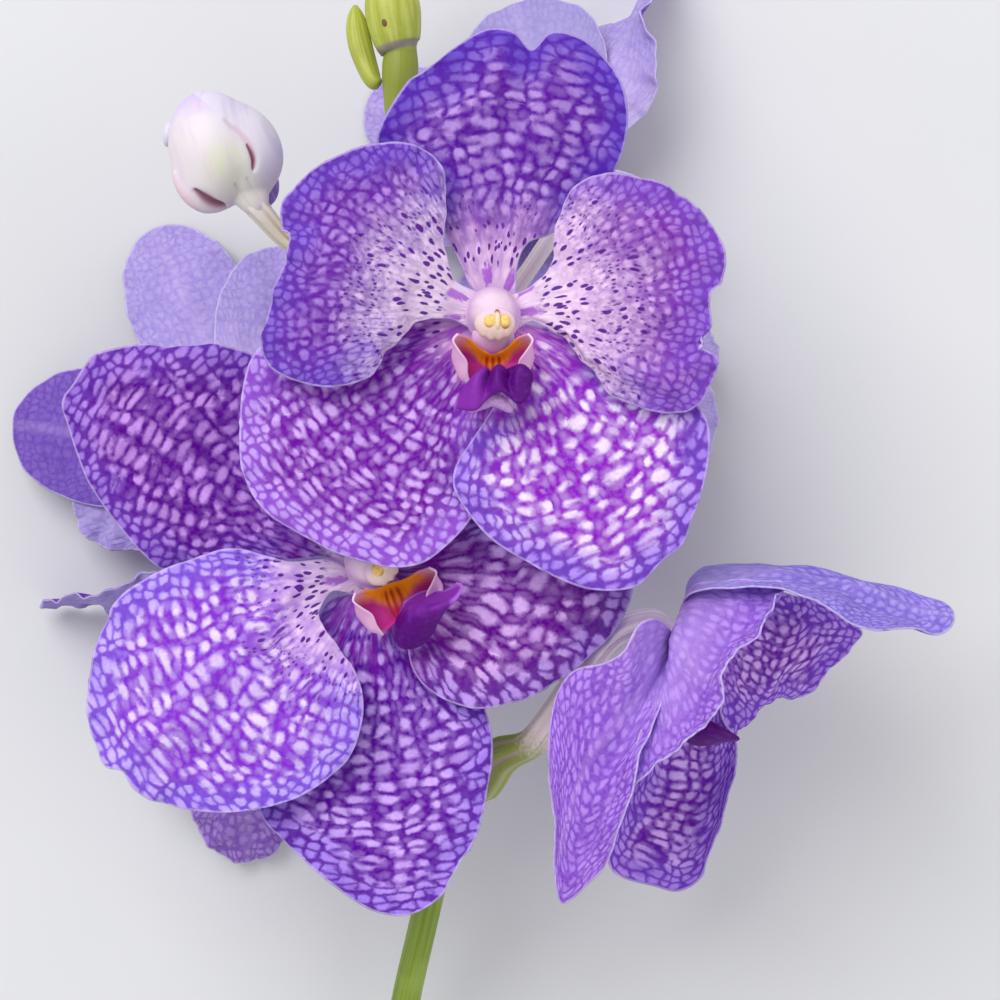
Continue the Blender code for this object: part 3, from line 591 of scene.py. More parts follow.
def sheet_parts(grid, thick, flow, seed):
    """Points, faces and values of a closed sheet about this grid, with a rounded margin."""
    rows, columns = grid.shape[:2]
    count = rows * columns
    normals = grid_normals(grid)
    loop = tuple(loop_of(rows, columns))
    edge = grid[loop]
    tangents = unit(np.roll(edge, -1, axis=0) - np.roll(edge, 1, axis=0))
    rim = edge + np.cross(tangents, normals[loop]) * (thick[loop] * 0.45)[:, None]
    shift = normals * thick[..., None] / 2
    points = np.concatenate([(grid + shift).reshape(-1, 3), (grid - shift).reshape(-1, 3), rim])
    number = np.arange(count).reshape(rows, columns)
    corners = [number[:-1, :-1], number[:-1, 1:], number[1:, 1:], number[1:, :-1]]
    quads = np.stack(corners, axis=2).reshape(-1, 4)
    lines = (number[loop], 2 * count + np.arange(len(edge)), number[loop] + count)
    after = [np.roll(line, -1) for line in lines]
    bands = [np.stack([lines[at], lines[at + 1], after[at + 1], after[at]], axis=1) for at in (0, 1)]
    side = np.concatenate([np.ones(count), np.zeros(count), np.full(len(edge), 0.5)])
    flows = np.concatenate([flow.reshape(-1, 3), flow.reshape(-1, 3), flow[loop]])
    kinds = np.stack([side, np.full(len(side), seed), np.zeros(len(side))], axis=1)
    return points, np.concatenate([quads, quads[:, ::-1] + count, *bands]), flows, kinds


def ring_faces(rings, around):
    """The faces of a closed round form: a band between each two rings, then its two ends."""
    number = np.arange(rings * around).reshape(rings, around)
    after = np.roll(number, -1, axis=1)
    bands = np.stack([number[:-1], after[:-1], after[1:], number[1:]], axis=2).reshape(-1, 4)
    return [*bands, number[0][::-1], number[-1]]


def same_kind(points, seed, zone):
    return np.tile([1.0, seed, zone], (len(points), 1))


def turned_axes(degrees):
    """Axes turned in the view by this much, counterclockwise."""
    turn = math.radians(degrees)
    return [[math.cos(turn), math.sin(turn), 0], [-math.sin(turn), math.cos(turn), 0], [0, 0, 1]]


def add_piece(node, parts, surface):
    """One mesh piece from lists of points, faces and values, in place of a node of the frame."""
    points = np.concatenate([part[0] for part in parts])
    points[:, 2] = np.maximum(points[:, 2], SPRAY_MIDDLE[2])
    starts = np.cumsum([0] + [len(part[0]) for part in parts])
    faces = [(face + start).tolist() for part, start in zip(parts, starts) for face in part[1]]
    mesh = bpy.data.meshes.new(node + "_detailed")
    mesh.from_pydata(((points - SPRAY_MIDDLE) * MM).tolist(), [], faces)
    for label, index in (("flow", 2), ("kind", 3)):
        values = np.concatenate([part[index] for part in parts]).astype(np.float32)
        mesh.attributes.new(label, "FLOAT_VECTOR", "POINT").data.foreach_set("vector", values.ravel())
    mesh.polygons.foreach_set("use_smooth", [True] * len(mesh.polygons))
    mesh.materials.append(surface)
    made = bpy.data.objects.new(node + "_detailed", mesh)
    bpy.context.scene.collection.objects.link(made)
    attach(made, "root")
    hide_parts(node)


def add_tepal(node, flower, name, seed, surface):
    """One tepal with its ruffled margin, swell, midrib and taper."""
    grid, flat = traced_tepal(flower, name) if "margins" in flower else cupped_tepal(flower, name)
    front_up = "margins" in flower and name not in flower.get("backs_up", ())
    if (grid_normals(grid)[..., 2].mean() > 0) != front_up:
        grid = grid[:, ::-1].copy()
        flat = flat[:, ::-1].copy()
    ruffle, ruffle_length, swell, swell_length, rib = WAVES[name.split("_")[0]]
    edge, nearest = margin_distance(grid, True)
    sideways = flat[..., 0]
    forward = flat[..., 1]
    spacing = 2 * math.pi * nearest * MARGIN_STEP / ruffle_length
    margin_share = np.exp(-(edge / 4.5) ** 2) * np.clip(forward / 14, 0, 1)
    ripple = np.sin(spacing + seed) + 0.45 * np.sin(2.3 * spacing + 2 * seed)
    waves = ruffle * flower.get("ruffle", 1) * margin_share * ripple
    inner = np.clip(edge / 6, 0, 1) * np.clip(forward / 12, 0, 1)
    swell_across = np.sin(sideways * 2 * math.pi / swell_length + seed)
    waves += swell * inner * swell_across * np.sin(forward * 5.3 / swell_length)
    waves -= rib * np.exp(-(sideways / 1.3) ** 2) * np.clip(forward / 8, 0, 1) * np.clip(edge / 6, 0, 1)
    turn = np.arctan2(sideways, forward + FLOW_BACK)
    waves += VEIN_RELIEF * np.sin(turn * 34 + seed) * inner
    waves *= np.clip((grid[..., 2] - SPRAY_MIDDLE[2] - 1) / 3, 0, 1)
    grid = grid + grid_normals(grid) * waves[..., None]
    thick = MARGIN_THICK + (TEPAL_THICK - MARGIN_THICK) * (1 - np.exp(-edge / 7))
    flow = np.stack([turn, np.hypot(sideways, forward + FLOW_BACK), edge], axis=2)
    add_piece(node, [sheet_parts(grid, thick, flow, seed)], surface)


def tube_parts(centres, radii, around, seed, zone, ribs=0, rib_depth=0.0):
    """A closed round tube with smoothly rounded ends, and ribs along it when asked."""
    centres = np.array(centres, float)
    tangents = unit(np.gradient(centres, axis=0))
    side = np.cross(tangents[0], [0.31, 0.2, 0.93])
    sides = []
    for tangent in tangents:
        side = unit(side - tangent * (side @ tangent))
        sides.append(side)
    others = np.cross(tangents, sides)
    lengths = lengths_along(centres)
    bend = 0.6 * min(radii[0], radii[-1])
    rings = []
    flows = []
    turn = np.linspace(0, 2 * math.pi, around, endpoint=False)
    steps = [(0, -1, size) for size in (0.0, 0.5, 0.87)] + [(index, 0, 1) for index in range(len(centres))]
    steps += [(-1, 1, size) for size in (0.87, 0.5, 0.0)]
    for index, way, size in steps:
        length = lengths[index]
        reach = radii[index] * max(size, 0.04) * (1 + rib_depth * np.cos(ribs * turn + length * 0.03))
        middle = centres[index] + tangents[index] * way * math.sqrt(1 - size ** 2) * bend
        ring = np.outer(np.cos(turn) * reach, sides[index]) + np.outer(np.sin(turn) * reach, others[index])
        rings.append(middle + ring)
        flows.append(np.stack([turn, np.full(around, length), np.full(around, length / lengths[-1])], axis=1))
    points = np.concatenate(rings)
    return points, ring_faces(len(rings), around), np.concatenate(flows), same_kind(points, seed, zone)


def ball(rings, around, gap):
    """Directions over a ball, in rings that stop this angle short of its two ends."""
    lift = np.linspace(-math.pi / 2 + gap, math.pi / 2 - gap, rings)[:, None]
    turn = np.linspace(0, 2 * math.pi, around, endpoint=False)[None]
    level = np.cos(lift)
    return np.stack([level * np.cos(turn), level * np.sin(turn), np.sin(lift) + 0 * turn], axis=2)


def egg_parts(centre, half, axes, seed, zone, rings=14, around=24):
    """A closed egg about a centre, with half sizes along three axes."""
    local = ball(rings, around, 0.08).reshape(-1, 3)
    points = centre + local * half @ np.array(axes)
    return points, ring_faces(rings, around), local, same_kind(points, seed, zone)


def mirrored(half):
    return [(-x, y, z) for x, y, z in reversed(half[1:])] + list(half)


def lip_flow(grid, zone):
    rows, columns = grid.shape[:2]
    across = np.broadcast_to(np.linspace(-1, 1, columns)[None], (rows, columns))
    along = np.broadcast_to(np.linspace(0, 1, rows)[:, None], (rows, columns))
    return np.stack([across, along + zone, margin_distance(grid, False)[0]], axis=2)


def add_lip(node, flower, seed, surface):
    """The lip: a cup of two side lobes, a fleshy mid-lobe with a pale underside, and the spur behind."""
    face = flower_frame(flower)[3]
    turned = turned_axes(flower.get("lip_turn", 0))
    shift = flower.get("lip_shift", (0, 0, 0))
    cup = smooth_grid([mirrored(half) for half in LIP_CUP], *CUP_POINTS)
    fade = np.linspace(1, 0, len(cup))[:, None]
    cup[..., 1] += flower.get("lip_rise", 0) * np.exp(-(cup[..., 0] / 4.0) ** 2) * fade
    cup[..., 0] *= np.where(cup[..., 0] > 0, flower.get("ear_stretch", 1), 1)
    sheets = [(in_flower(flower, cup @ turned + shift), face, 0, LIP_CUP_THICK)]
    own_lobe = "own_lobe" in flower
    if own_lobe:
        lobe = smooth_grid([spots(row) for row in flower["own_lobe"]], *LOBE_POINTS)
        sheets.append((lobe, [0, 0, 1], 2, LIP_LOBE_THICK))
    else:
        lobe = smooth_grid(MID_LOBE, *LOBE_POINTS)
        sheets.append((in_flower(flower, lobe @ turned + shift), face, 2, LIP_LOBE_THICK))
    parts = []
    for grid, front, zone, thick in sheets:
        flow = lip_flow(grid, zone)
        # The lower right flower's mid-lobe: its own dark purple at the darkest end of the painted shade, for
        # the petal's shade over it
        if zone and "dark_lobe" in flower:
            flow[..., 0] = 1.0
        if grid_normals(grid)[10:20].mean(axis=(0, 1)) @ front < 0:
            grid = grid[:, ::-1].copy()
            flow = flow[:, ::-1].copy()
        thickness = LIP_EDGE_THICK + (thick - LIP_EDGE_THICK) * (1 - np.exp(-flow[..., 2] / 1.5))
        parts.append(sheet_parts(grid, thickness, flow, seed))
    if not own_lobe:
        under = in_flower(flower, smooth_points(LIP_UNDERSIDE, 24) @ turned + shift)
        parts.append(tube_parts(under, LIP_UNDERSIDE_RADIUS * np.sin(np.linspace(0.5, 2.6, 24)), 20, seed, 6))
    spur = in_flower(flower, smooth_points(SPUR, 16))
    parts.append(tube_parts(spur, np.linspace(2.1, 1.0, 16), 20, seed, 4))
    add_piece(node, parts, surface)


def add_column(node, flower, seed, surface):
    """The column with its anther cap, the two pollen masses under it and the beak between them."""
    axes = flower_frame(flower)[1:]
    shift = np.array(flower.get("column_shift", (0, 0, 0)), float)
    profile = smooth_points([(radius, height, 0) for radius, height in COLUMN_PROFILE], COLUMN_POINTS[0])
    turn = np.linspace(0, 2 * math.pi, COLUMN_POINTS[1], endpoint=False)
    height = np.broadcast_to(profile[:, 1:2], COLUMN_POINTS)
    local = np.stack([profile[:, :1] * np.cos(turn), profile[:, :1] * np.sin(turn) * 1.03, height], axis=2)
    local[..., 1] += 0.10 * np.clip(local[..., 2], 0, 9)
    local = local.reshape(-1, 3)
    faces = ring_faces(*COLUMN_POINTS)[:-1]
    body = (in_flower(flower, local + shift), faces, local, same_kind(local, seed, 0))
    wide, high = CAP_HALF[:2]
    points, faces, flows, kinds = egg_parts(np.zeros(3), CAP_HALF, np.eye(3), seed, 1, 20, 48)
    off = points[:, 0] / wide
    points[:, 1] += 0.5 * np.exp(-(off * 4) ** 2) * (points[:, 1] > 0) * points[:, 1] / high
    points[:, 1] += 0.22 * np.cos(off * 14) * np.clip(-points[:, 1] / high, 0, 1)
    points[:, 2] += 0.5 * (1 - off ** 2) * np.exp(-((points[:, 1] + 0.4) / 2.4) ** 2)
    parts = [body, (in_flower(flower, points + CAP_MIDDLE + shift), faces, flows, kinds)]
    if "lip_turn" not in flower:
        parts.append(egg_parts(in_flower(flower, FOOT_MIDDLE), FOOT_HALF, axes, seed, 4, 20, 40))
    for place, half in POLLEN:
        parts.append(egg_parts(in_flower(flower, place + shift), half, axes, seed, 2))
    beak = in_flower(flower, smooth_points(BEAK, 14) + shift)
    parts.append(tube_parts(beak, 0.42 + 0.12 * np.sin(np.linspace(0, math.pi, 14)), 14, seed, 3))
    add_piece(node, parts, surface)


def stem_places():
    """The stem's centre line and its radius at each point."""
    centres = smooth_points(spots(STEM_PATH), STEM_STEPS)
    part = np.linspace(0, 1, STEM_STEPS)
    return centres, STEM_CUT_RADIUS + (STEM_TIP_RADIUS - STEM_CUT_RADIUS) * part ** 1.5


def stem_at(down):
    """The stem's centre, radius and direction at this distance down the view."""
    centres, radii = stem_places()
    best = None
    for index in range(len(centres) - 1):
        for step in range(20):
            centre = centres[index] + (centres[index + 1] - centres[index]) * step / 20
            miss = abs(VIEW_CENTRE - centre[1] / unit_at(centre[2]) - down)
            if best is None or miss < best[0]:
                best = (miss, centre, radii[index], unit(centres[index + 1] - centres[index]))
    return best[1:]


def off_stem(down, toward):
    """A point just off the stem at this distance down the view, and the way square to the stem to another."""
    axis, radius, along = stem_at(down)
    way = toward - axis
    way = unit(way - along * (way @ along))
    return axis + way * (radius + SEAT_GAP), way


def add_stalk(node, flower, seed, surface):
    """A flower's ribbed stalk, from its foot on the stem to the swollen end behind the face."""
    route = spots(flower["route"])
    first, way = off_stem(flower["stem_down"], route[0])
    last, swell, neck = [in_flower(flower, (0, 0, RECEPTACLE_LEVEL - behind)) for behind in (0, 6, 10)]
    places = [first] + list(smooth_points([first + way * 3, *route, neck], 8)) + [swell, last]
    centres = smooth_points([first - way * 1.2] + places, TUBE_RINGS)
    radii = smooth_radii(STALK_SHARES, flower.get("stalk_radii", STALK_RADII), TUBE_RINGS)
    add_piece(node, [tube_parts(centres, radii, 42, seed, 0, ribs=6, rib_depth=0.09)], surface)


class Value:
    """A value in a material, which adds, subtracts and multiplies as a number does."""

    def __init__(self, shader, socket):
        self.shader = shader
        self.socket = socket

    def __add__(self, other):
        return self.shader.math("ADD", self, other)

    def __radd__(self, other):
        return self.shader.math("ADD", other, self)

    def __sub__(self, other):
        return self.shader.math("SUBTRACT", self, other)

    def __rsub__(self, other):
        return self.shader.math("SUBTRACT", other, self)

    def __mul__(self, other):
        return self.shader.math("MULTIPLY", self, other)


class Shader:
    """A new material, with short calls for the nodes that the tissues use."""

    def __init__(self, name):
        self.material = bpy.data.materials.new(name)
        self.material.use_nodes = True
        self.tree = self.material.node_tree
        self.surface = self.tree.nodes["Principled BSDF"]
        self.place = Value(self, self.node("ShaderNodeTexCoord").outputs["Object"])

    def node(self, kind, **settings):
        made = self.tree.nodes.new(kind)
        for key, value in settings.items():
            setattr(made, key, value)
        return made

    def put(self, socket, value):
        if isinstance(value, Value):
            self.tree.links.new(value.socket, socket)
        else:
            socket.default_value = value

    def made_from(self, node, numbers, values, output=0):
        """A node's output, once these values are put on the inputs with these numbers or names."""
        for number, value in zip(numbers, values):
            self.put(node.inputs[number], value)
        return Value(self, node.outputs[output])

    def math(self, operation, *values):
        return self.made_from(self.node("ShaderNodeMath", operation=operation), range(2), values)

    def ramp(self, value, low, high):
        """0 at low, 1 at high and smooth between, where low may be the larger."""
        made = self.node("ShaderNodeMapRange", interpolation_type="SMOOTHSTEP")
        return self.made_from(made, ("Value", "From Min", "From Max"), (value, low, high), "Result")

    def mix(self, factor, *colours):
        """A colour between two others, each of them a value or a hexadecimal code."""
        colours = [colour(tone) if isinstance(tone, str) else tone for tone in colours]
        return self.made_from(self.node("ShaderNodeMix", data_type="RGBA"), (0, 6, 7), (factor, *colours), 2)

    def blend(self, factor, first, second):
        """A number between two others."""
        made = self.node("ShaderNodeMix", data_type="FLOAT")
        return self.made_from(made, (0, 2, 3), (factor, first, second))

    def vector(self, *parts):
        return self.made_from(self.node("ShaderNodeCombineXYZ"), range(3), parts)

    def parts(self, vector):
        made = self.node("ShaderNodeSeparateXYZ")
        self.put(made.inputs[0], vector)
        return [Value(self, output) for output in made.outputs]

    def attribute(self, name):
        made = self.node("ShaderNodeAttribute", attribute_name=name)
        return self.parts(Value(self, made.outputs["Vector"]))

    def noise(self, size, detail=2.0, vector=None, colour_out=False):
        """Noise with features about this many millimetres, or this many units of the vector."""
        scale = 1 / (size * MM) if vector is None else 1 / size
        values = (self.place if vector is None else vector, scale, detail)
        made = self.node("ShaderNodeTexNoise")
        return self.made_from(made, ("Vector", "Scale", "Detail"), values, 1 if colour_out else 0)

    def voronoi(self, vector, feature, randomness):
        made = self.node("ShaderNodeTexVoronoi", feature=feature, voronoi_dimensions="2D")
        values = (vector, 1, randomness)
        return self.made_from(made, ("Vector", "Scale", "Randomness"), values, "Distance"), made

    def cells(self, vector, randomness):
        """How far from its cell's middle a place is, and the cell's own random values."""
        near, made = self.voronoi(vector, "F1", randomness)
        return near, self.parts(Value(self, made.outputs["Color"]))

    def soft_cells(self, vector, randomness):
        """How far inside its cell a place is, and what cells gives."""
        return self.voronoi(vector, "DISTANCE_TO_EDGE", randomness)[0], *self.cells(vector, randomness)

    def finish(self, base, roughness, height=None, depth=0.0, **values):
        """Wires colour, roughness and relief, and sets the rest on the shader's own sockets."""
        self.put(self.surface.inputs["Base Color"], base)
        self.put(self.surface.inputs["Roughness"], roughness)
        if height is not None:
            made = self.node("ShaderNodeBump")
            relief = self.made_from(made, ("Strength", "Distance", "Height"), (1.0, depth * MM, height))
            self.put(self.surface.inputs["Normal"], relief)
        for key, value in values.items():
            self.surface.inputs[key.replace("_", " ")].default_value = value
        return self.material


# Colours that several tepals share: the faces of the rear flowers, and the net and cells of most backs
REAR_FACE = ("68289e", "6a34ae", "c49fe8", "a685e2", "eacdf0")
PLAIN_BACK = ("9068cc", "c8b0ee")

# Tepal looks: net and cell colours in the blade and at its margin, base colour, net and cell colours of the
# back, files of cells for each radian, cells along a ray, share of dark dashes, their reach, the pale base's
# reach, streaks by the claw, how strongly the cells stand out and how wide they are
TEPAL_LOOKS = {
    "front_dorsal_sepal": (
        "5a1098", "5220a6", "c49ee8", "785cce", "e8b6e6", *PLAIN_BACK, 6.5, 5.8, 0.6, 30, 29, 0.4, 0.8, 0.44),
    "front_petal_left": (
        "621c9a", "5e2ca8", "b68ce0", "9070d8", "f8def6", "9068cc", "d0baf0",
        10, 6.6, 0.6, 40, 36, 0.1, 0.75, 0.42),
    "front_petal_right": (
        "7424a4", "743ab4", "c896e6", "a078dc", "fadaf6", "9068cc", "d0baf0",
        10, 6.6, 0.62, 42, 40, 0.1, 0.75, 0.42),
    "front_lateral_left": (
        "6c069c", "8a44c6", "dab0f8", "c8a2f6", "ecb8ea", *PLAIN_BACK,
        8.5, 6.4, 0.16, 24, 20, 0.8, 0.95, 0.40),
    "front_lateral_right": (
        "8c1cc0", "6632b0", "fae6ff", "b490f4", "f2a8f0", *PLAIN_BACK,
        6.6, 5.0, 0.16, 24, 20, 0.9, 1.0, 0.39),
    "low_left_dorsal_sepal": (
        "5a008e", "5a149e", "d49ef2", "aa84e2", "e6c4ea", *PLAIN_BACK,
        8.2, 5.3, 0.45, 24, 18, 0.4, 0.95, 0.40),
    "low_left_petal_left": (
        "842ecc", "7440ce", "f0daff", "c6acfc", "f6d4f8", *PLAIN_BACK,
        7.5, 5.4, 0.62, 34, 30, 0.2, 0.9, 0.41),
    "low_left_petal_right": (
        "5d0f92", "6a34ae", "cba6ee", "a685e2", "e6c4ea", *PLAIN_BACK, 10, 6, 0.4, 24, 22, 0.3, 0.9, 0.42),
    "low_left_lateral_left": (
        "5c0098", "561098", "d8b0fe", "aa86ee", "bc84dc", *PLAIN_BACK, 7.2, 5.6, 0.1, 18, 17, 0.9, 1.0, 0.42),
    "low_left_lateral_right": (
        "66008e", "5c0a90", "e8bafc", "c09aee", "a850c8", *PLAIN_BACK, 6.2, 3.5, 0.1, 18, 14, 0.7, 1.0, 0.39),
    "low_right_dorsal_sepal": (
        "540e90", "5a2aa4", "d0aef8", "a586ea", "c08cd8", "7860cc", "b4a2f4",
        12, 6, 0.2, 20, 16, 0.6, 0.85, 0.46),
    "side": (
        "660c9e", "6a2cb6", "e0b8fe", "b890f4", "c88cdc", "7e3ec2", "c298f4",
        9, 5.6, 0.2, 20, 16, 0.6, 0.95, 0.44),
    "rear": (
        *REAR_FACE, "9a86d2", "d0c0ee", 12, 6, 0.3, 24, 20, 0.3, 0.35, 0.5),
    # The rear top flower's dorsal sepal: the rear look with its back colours darker, as painted shade
    "rear_top_dorsal_sepal": (
        *REAR_FACE, "9688ca", "b8aede", 10, 6, 0.3, 24, 20, 0.3, 0.35, 0.5),
    "rear_left_dorsal_sepal": (
        *REAR_FACE, "6a44ac", "9478ce", 12, 6, 0.3, 24, 20, 0.3, 0.45, 0.5),
    "rear_low_petal_left": (
        *REAR_FACE, "7c4cb4", "b494de", 12, 6, 0.3, 24, 20, 0.3, 0.9, 0.44),
}


def tepal_material(name, look):
    """Net-veined tissue: pale cells in files along the rays, dashes by the claw, a thin rim, a paler back."""
    net, rim_net, cell, rim_cell, base, back_net, back_cell = look[:7]
    files, steps, dashes, dash_reach, base_reach, streaky, strength, room = look[7:]
    s = Shader(name)
    turn, reach, edge = s.attribute("flow")
    side, seed = s.attribute("kind")[:2]
    drift = s.parts(s.noise(8, 1, colour_out=True))
    frill = s.parts(s.noise(1.6, 1, colour_out=True))
    patch_noise = s.noise(9, 1)
    speckle = s.noise(0.6, 3)
    mottle = s.ramp(s.noise(1.0, 4), 0.4, 0.62)
    away = reach * (0.6 + reach * 0.011) * (1 / 25)
    u = turn * files + seed * 7.31 + drift[0] * 0.9 + frill[0] * 0.2
    v = away * steps + seed * 3.17 + drift[1] * 0.9 + frill[1] * 0.2
    streaks = s.noise(1.0, 2, s.vector(turn * 7.0, reach * 0.06, seed))
    middle_edge, middle_near, shade = s.soft_cells(s.vector(u, v), 0.45)
    outer_edge, outer_near = s.soft_cells(s.vector(u * 1.5, v * 1.05), 0.5)[:2]
    rim_edge, rim_near = s.soft_cells(s.vector(u * 2.5, v * 1.15), 0.6)[:2]
    inland = s.ramp(reach, 28, 16)
    outer_zone = s.ramp(edge + drift[2] * 8, 19, 16) * (1.0 - inland)
    rim_zone = s.ramp(edge + drift[2] * 8, 11.5, 7.5) * (1.0 - inland)
    inner = s.blend(rim_zone, s.blend(outer_zone, middle_edge, outer_edge), rim_edge)
    near = s.blend(rim_zone, s.blend(outer_zone, middle_near, outer_near), rim_near)
    wide = room + (patch_noise - 0.5) * 0.25 + (shade[0] - 0.5) * 0.16
    wide = wide + (streaks - 0.5) * 0.25 + rim_zone * 0.08 + outer_zone * 0.03
    gap = s.math("MINIMUM", inner - s.blend(rim_zone, 0.06, 0.03), wide - near)
    blob = s.ramp(gap + (speckle - 0.5) * 0.16, -0.04, 0.27)
    fine = s.ramp(rim_near, 0.55, 0.1) * 0.22
    middle_share = s.math("MAXIMUM", s.ramp(edge + drift[0] * 8, 5.0, 14.0), inland)
    own_net = s.mix(middle_share, rim_net, net)
    own_cell = s.mix(middle_share, rim_cell, cell)
    net_colour = s.mix(mottle * 0.06 + fine + rim_zone * 0.06, own_net, own_cell)
    cell_colour = s.mix((1.0 - mottle) * 0.12, own_cell, net)
    fill = s.math("MINIMUM", blob * strength * (0.62 + shade[1] * 0.6), 1.0)
    start = reach + (streaks - 0.5) * 16 + (drift[1] - 0.5) * 12
    base_share = s.ramp(start, base_reach, base_reach * 0.35)
    pale = s.mix(s.ramp(reach, 24, 10) * max(0, 1 - 1.25 * streaky), base, "f6e0f2")
    cell_colour = s.mix(base_share, cell_colour, pale)
    front = s.mix(fill, net_colour, cell_colour)
    base_tone = s.mix(mottle * s.ramp(reach, 8, 30) * 0.5, pale, net)
    front = s.mix(base_share * (0.85 - 0.25 * streaky), front, base_tone)
    rays = s.noise(1.0, 3, s.vector(turn * 9.0, reach * 0.13, seed))
    rays = s.ramp(rays, 0.47, 0.6) * s.ramp(reach, 7, 12) * s.ramp(reach, 28, 17) * streaky
    front = s.mix(rays * 0.8, front, s.mix(0.45, net, "9c1cae"))
    dash_across = turn * 14.0 + drift[0] * 1.6
    dash_along = s.math("LOGARITHM", 1.0 + reach * (1 / 25), math.e) * 15.0 + drift[1] * 1.6
    dash, chance = s.cells(s.vector(dash_across, dash_along), 0.95)
    size = s.blend(s.ramp(reach, 11, dash_reach), 0.38, 0.13) + (chance[1] - 0.6) * 0.2
    dot = s.ramp(dash + (speckle - 0.5) * 0.12, size, size - 0.12)
    dot = dot * s.math("LESS_THAN", chance[0], dashes) * s.ramp(reach, 10, 12.5)
    dot = dot * s.ramp(start, dash_reach, dash_reach - 12)
    speck, chance = s.cells(s.vector(dash_across * 2.1, dash_along * 2.1), 1.0)
    speck = s.ramp(speck, 0.34, 0.18) * s.math("LESS_THAN", chance[0], dashes) * (1.0 - blob * 0.8)
    speck = speck * s.ramp(reach, 18, 26) * s.ramp(start, dash_reach * 1.1, dash_reach * 0.7) * 0.8
    front = s.mix(s.math("MAXIMUM", dot, speck) * 0.95, front, "56088a")
    patches = s.math("COSINE", turn * 12.0 + seed * 2.0) + frill[0] - 0.5
    patch_reach = reach + (frill[2] - 0.5) * 5
    patches = s.ramp(patches, 0.1, 0.7) * s.ramp(patch_reach, 6.6, 7.8) * s.ramp(patch_reach, 12.0, 10.0)
    front = s.mix(patches * 0.8, front, "a048c8")
    rim = s.ramp(edge + (speckle - 0.5) * 0.4, 0.42, 0.1)
    front = s.mix(rim * 0.5, front, "d9c6f2")
    back_cells = s.mix(fill * 0.85, back_net, back_cell)
    back_cells = s.mix((mottle + streaks) * 0.2, back_cells, back_cell)
    back = s.mix(s.ramp(start, 40, 10) * 0.5, back_cells, s.mix(0.35, back_cell, "f2e2ee"))
    midrib = s.ramp(s.math("ABSOLUTE", turn * reach), 2.2, 0.2)
    back = s.mix(midrib * 0.12, back, "e2c8f0")
    back = s.mix(rim * 0.55, back, "ddd2f4")
    tone = s.mix(s.ramp(side, 0.3, 0.7), back, front)
    return s.finish(tone, 0.5 + speckle * 0.16, blob * 0.7 + speckle * 0.4, 0.1, Specular_IOR_Level=0.06)


def lip_material():
    """Waxy lip: orange arms in magenta cup, pale outsides, dark mid-lobe in painted light and shade, pale
    underside.
    """
    s = Shader("lip_tissue")
    across, along, edge = s.attribute("flow")
    side, _, zone = s.attribute("kind")
    speckle = s.noise(0.6, 3)
    off = s.math("ABSOLUTE", across)
    line = along + s.ramp(off, 0.45, 0.0) * -0.34 + (speckle - 0.5) * 0.08
    inside = s.mix(s.ramp(line, 0.06, 0.3), "ff9a10", "c02c90")
    inside = s.mix(s.ramp(off, 0.55, 0.88) * 0.9, inside, "e29cc0")
    threads = s.math("COSINE", across * 60.0)
    throat = s.ramp(along, 0.02, 0.22) * s.ramp(off, 0.26, 0.1) * (0.65 + threads * 0.3)
    inside = s.mix(throat, inside, "a81c10")
    stripes = s.ramp(s.noise(1.0, 1, s.vector(off, along * 16.0)), 0.5, 0.6)
    inside = s.mix(stripes * s.ramp(off, 0.4, 0.65) * 0.3, inside, "7d0d66")
    inside = s.mix(s.ramp(off, 0.93, 0.985), inside, "f6dcee")
    outside = s.mix(s.ramp(off, 0.4, 0.95), "c878c0", "efb8de")
    cup = s.mix(s.ramp(side, 0.3, 0.7), outside, inside)
    # Painted light and shade: the mid-lobe's own dark purple, lighter on its lit side and darker on its
    # shaded side
    lobe_top = s.mix(s.ramp(across + s.noise(2.0, 2) * 0.5, -0.4, 0.45), "8428a6", "5a007a")
    # Painted highlights in soft patches over the mid-lobe
    lobe_top = s.mix(s.ramp(s.noise(1.2, 3), 0.5, 0.7) * 0.25, lobe_top, "8a3cb6")
    # Painted highlight along the edge on the mid-lobe's lit side
    lobe_top = s.mix(s.ramp(edge, 1.0, 0.1) * s.ramp(across, 0.4, -0.5), lobe_top, "a864d0")
    lobe = s.mix(s.ramp(side, 0.3, 0.7), "c48ad2", lobe_top)
    base = s.mix(s.ramp(along, 1.4, 1.6), cup, lobe)
    base = s.mix(s.ramp(zone, 3.4, 3.6), base, s.mix(s.ramp(speckle, 0.35, 0.65), "bd8ccc", "cda2d8"))
    return s.finish(base, 0.4 + speckle * 0.2, speckle, 0.05, Specular_IOR_Level=0.2)


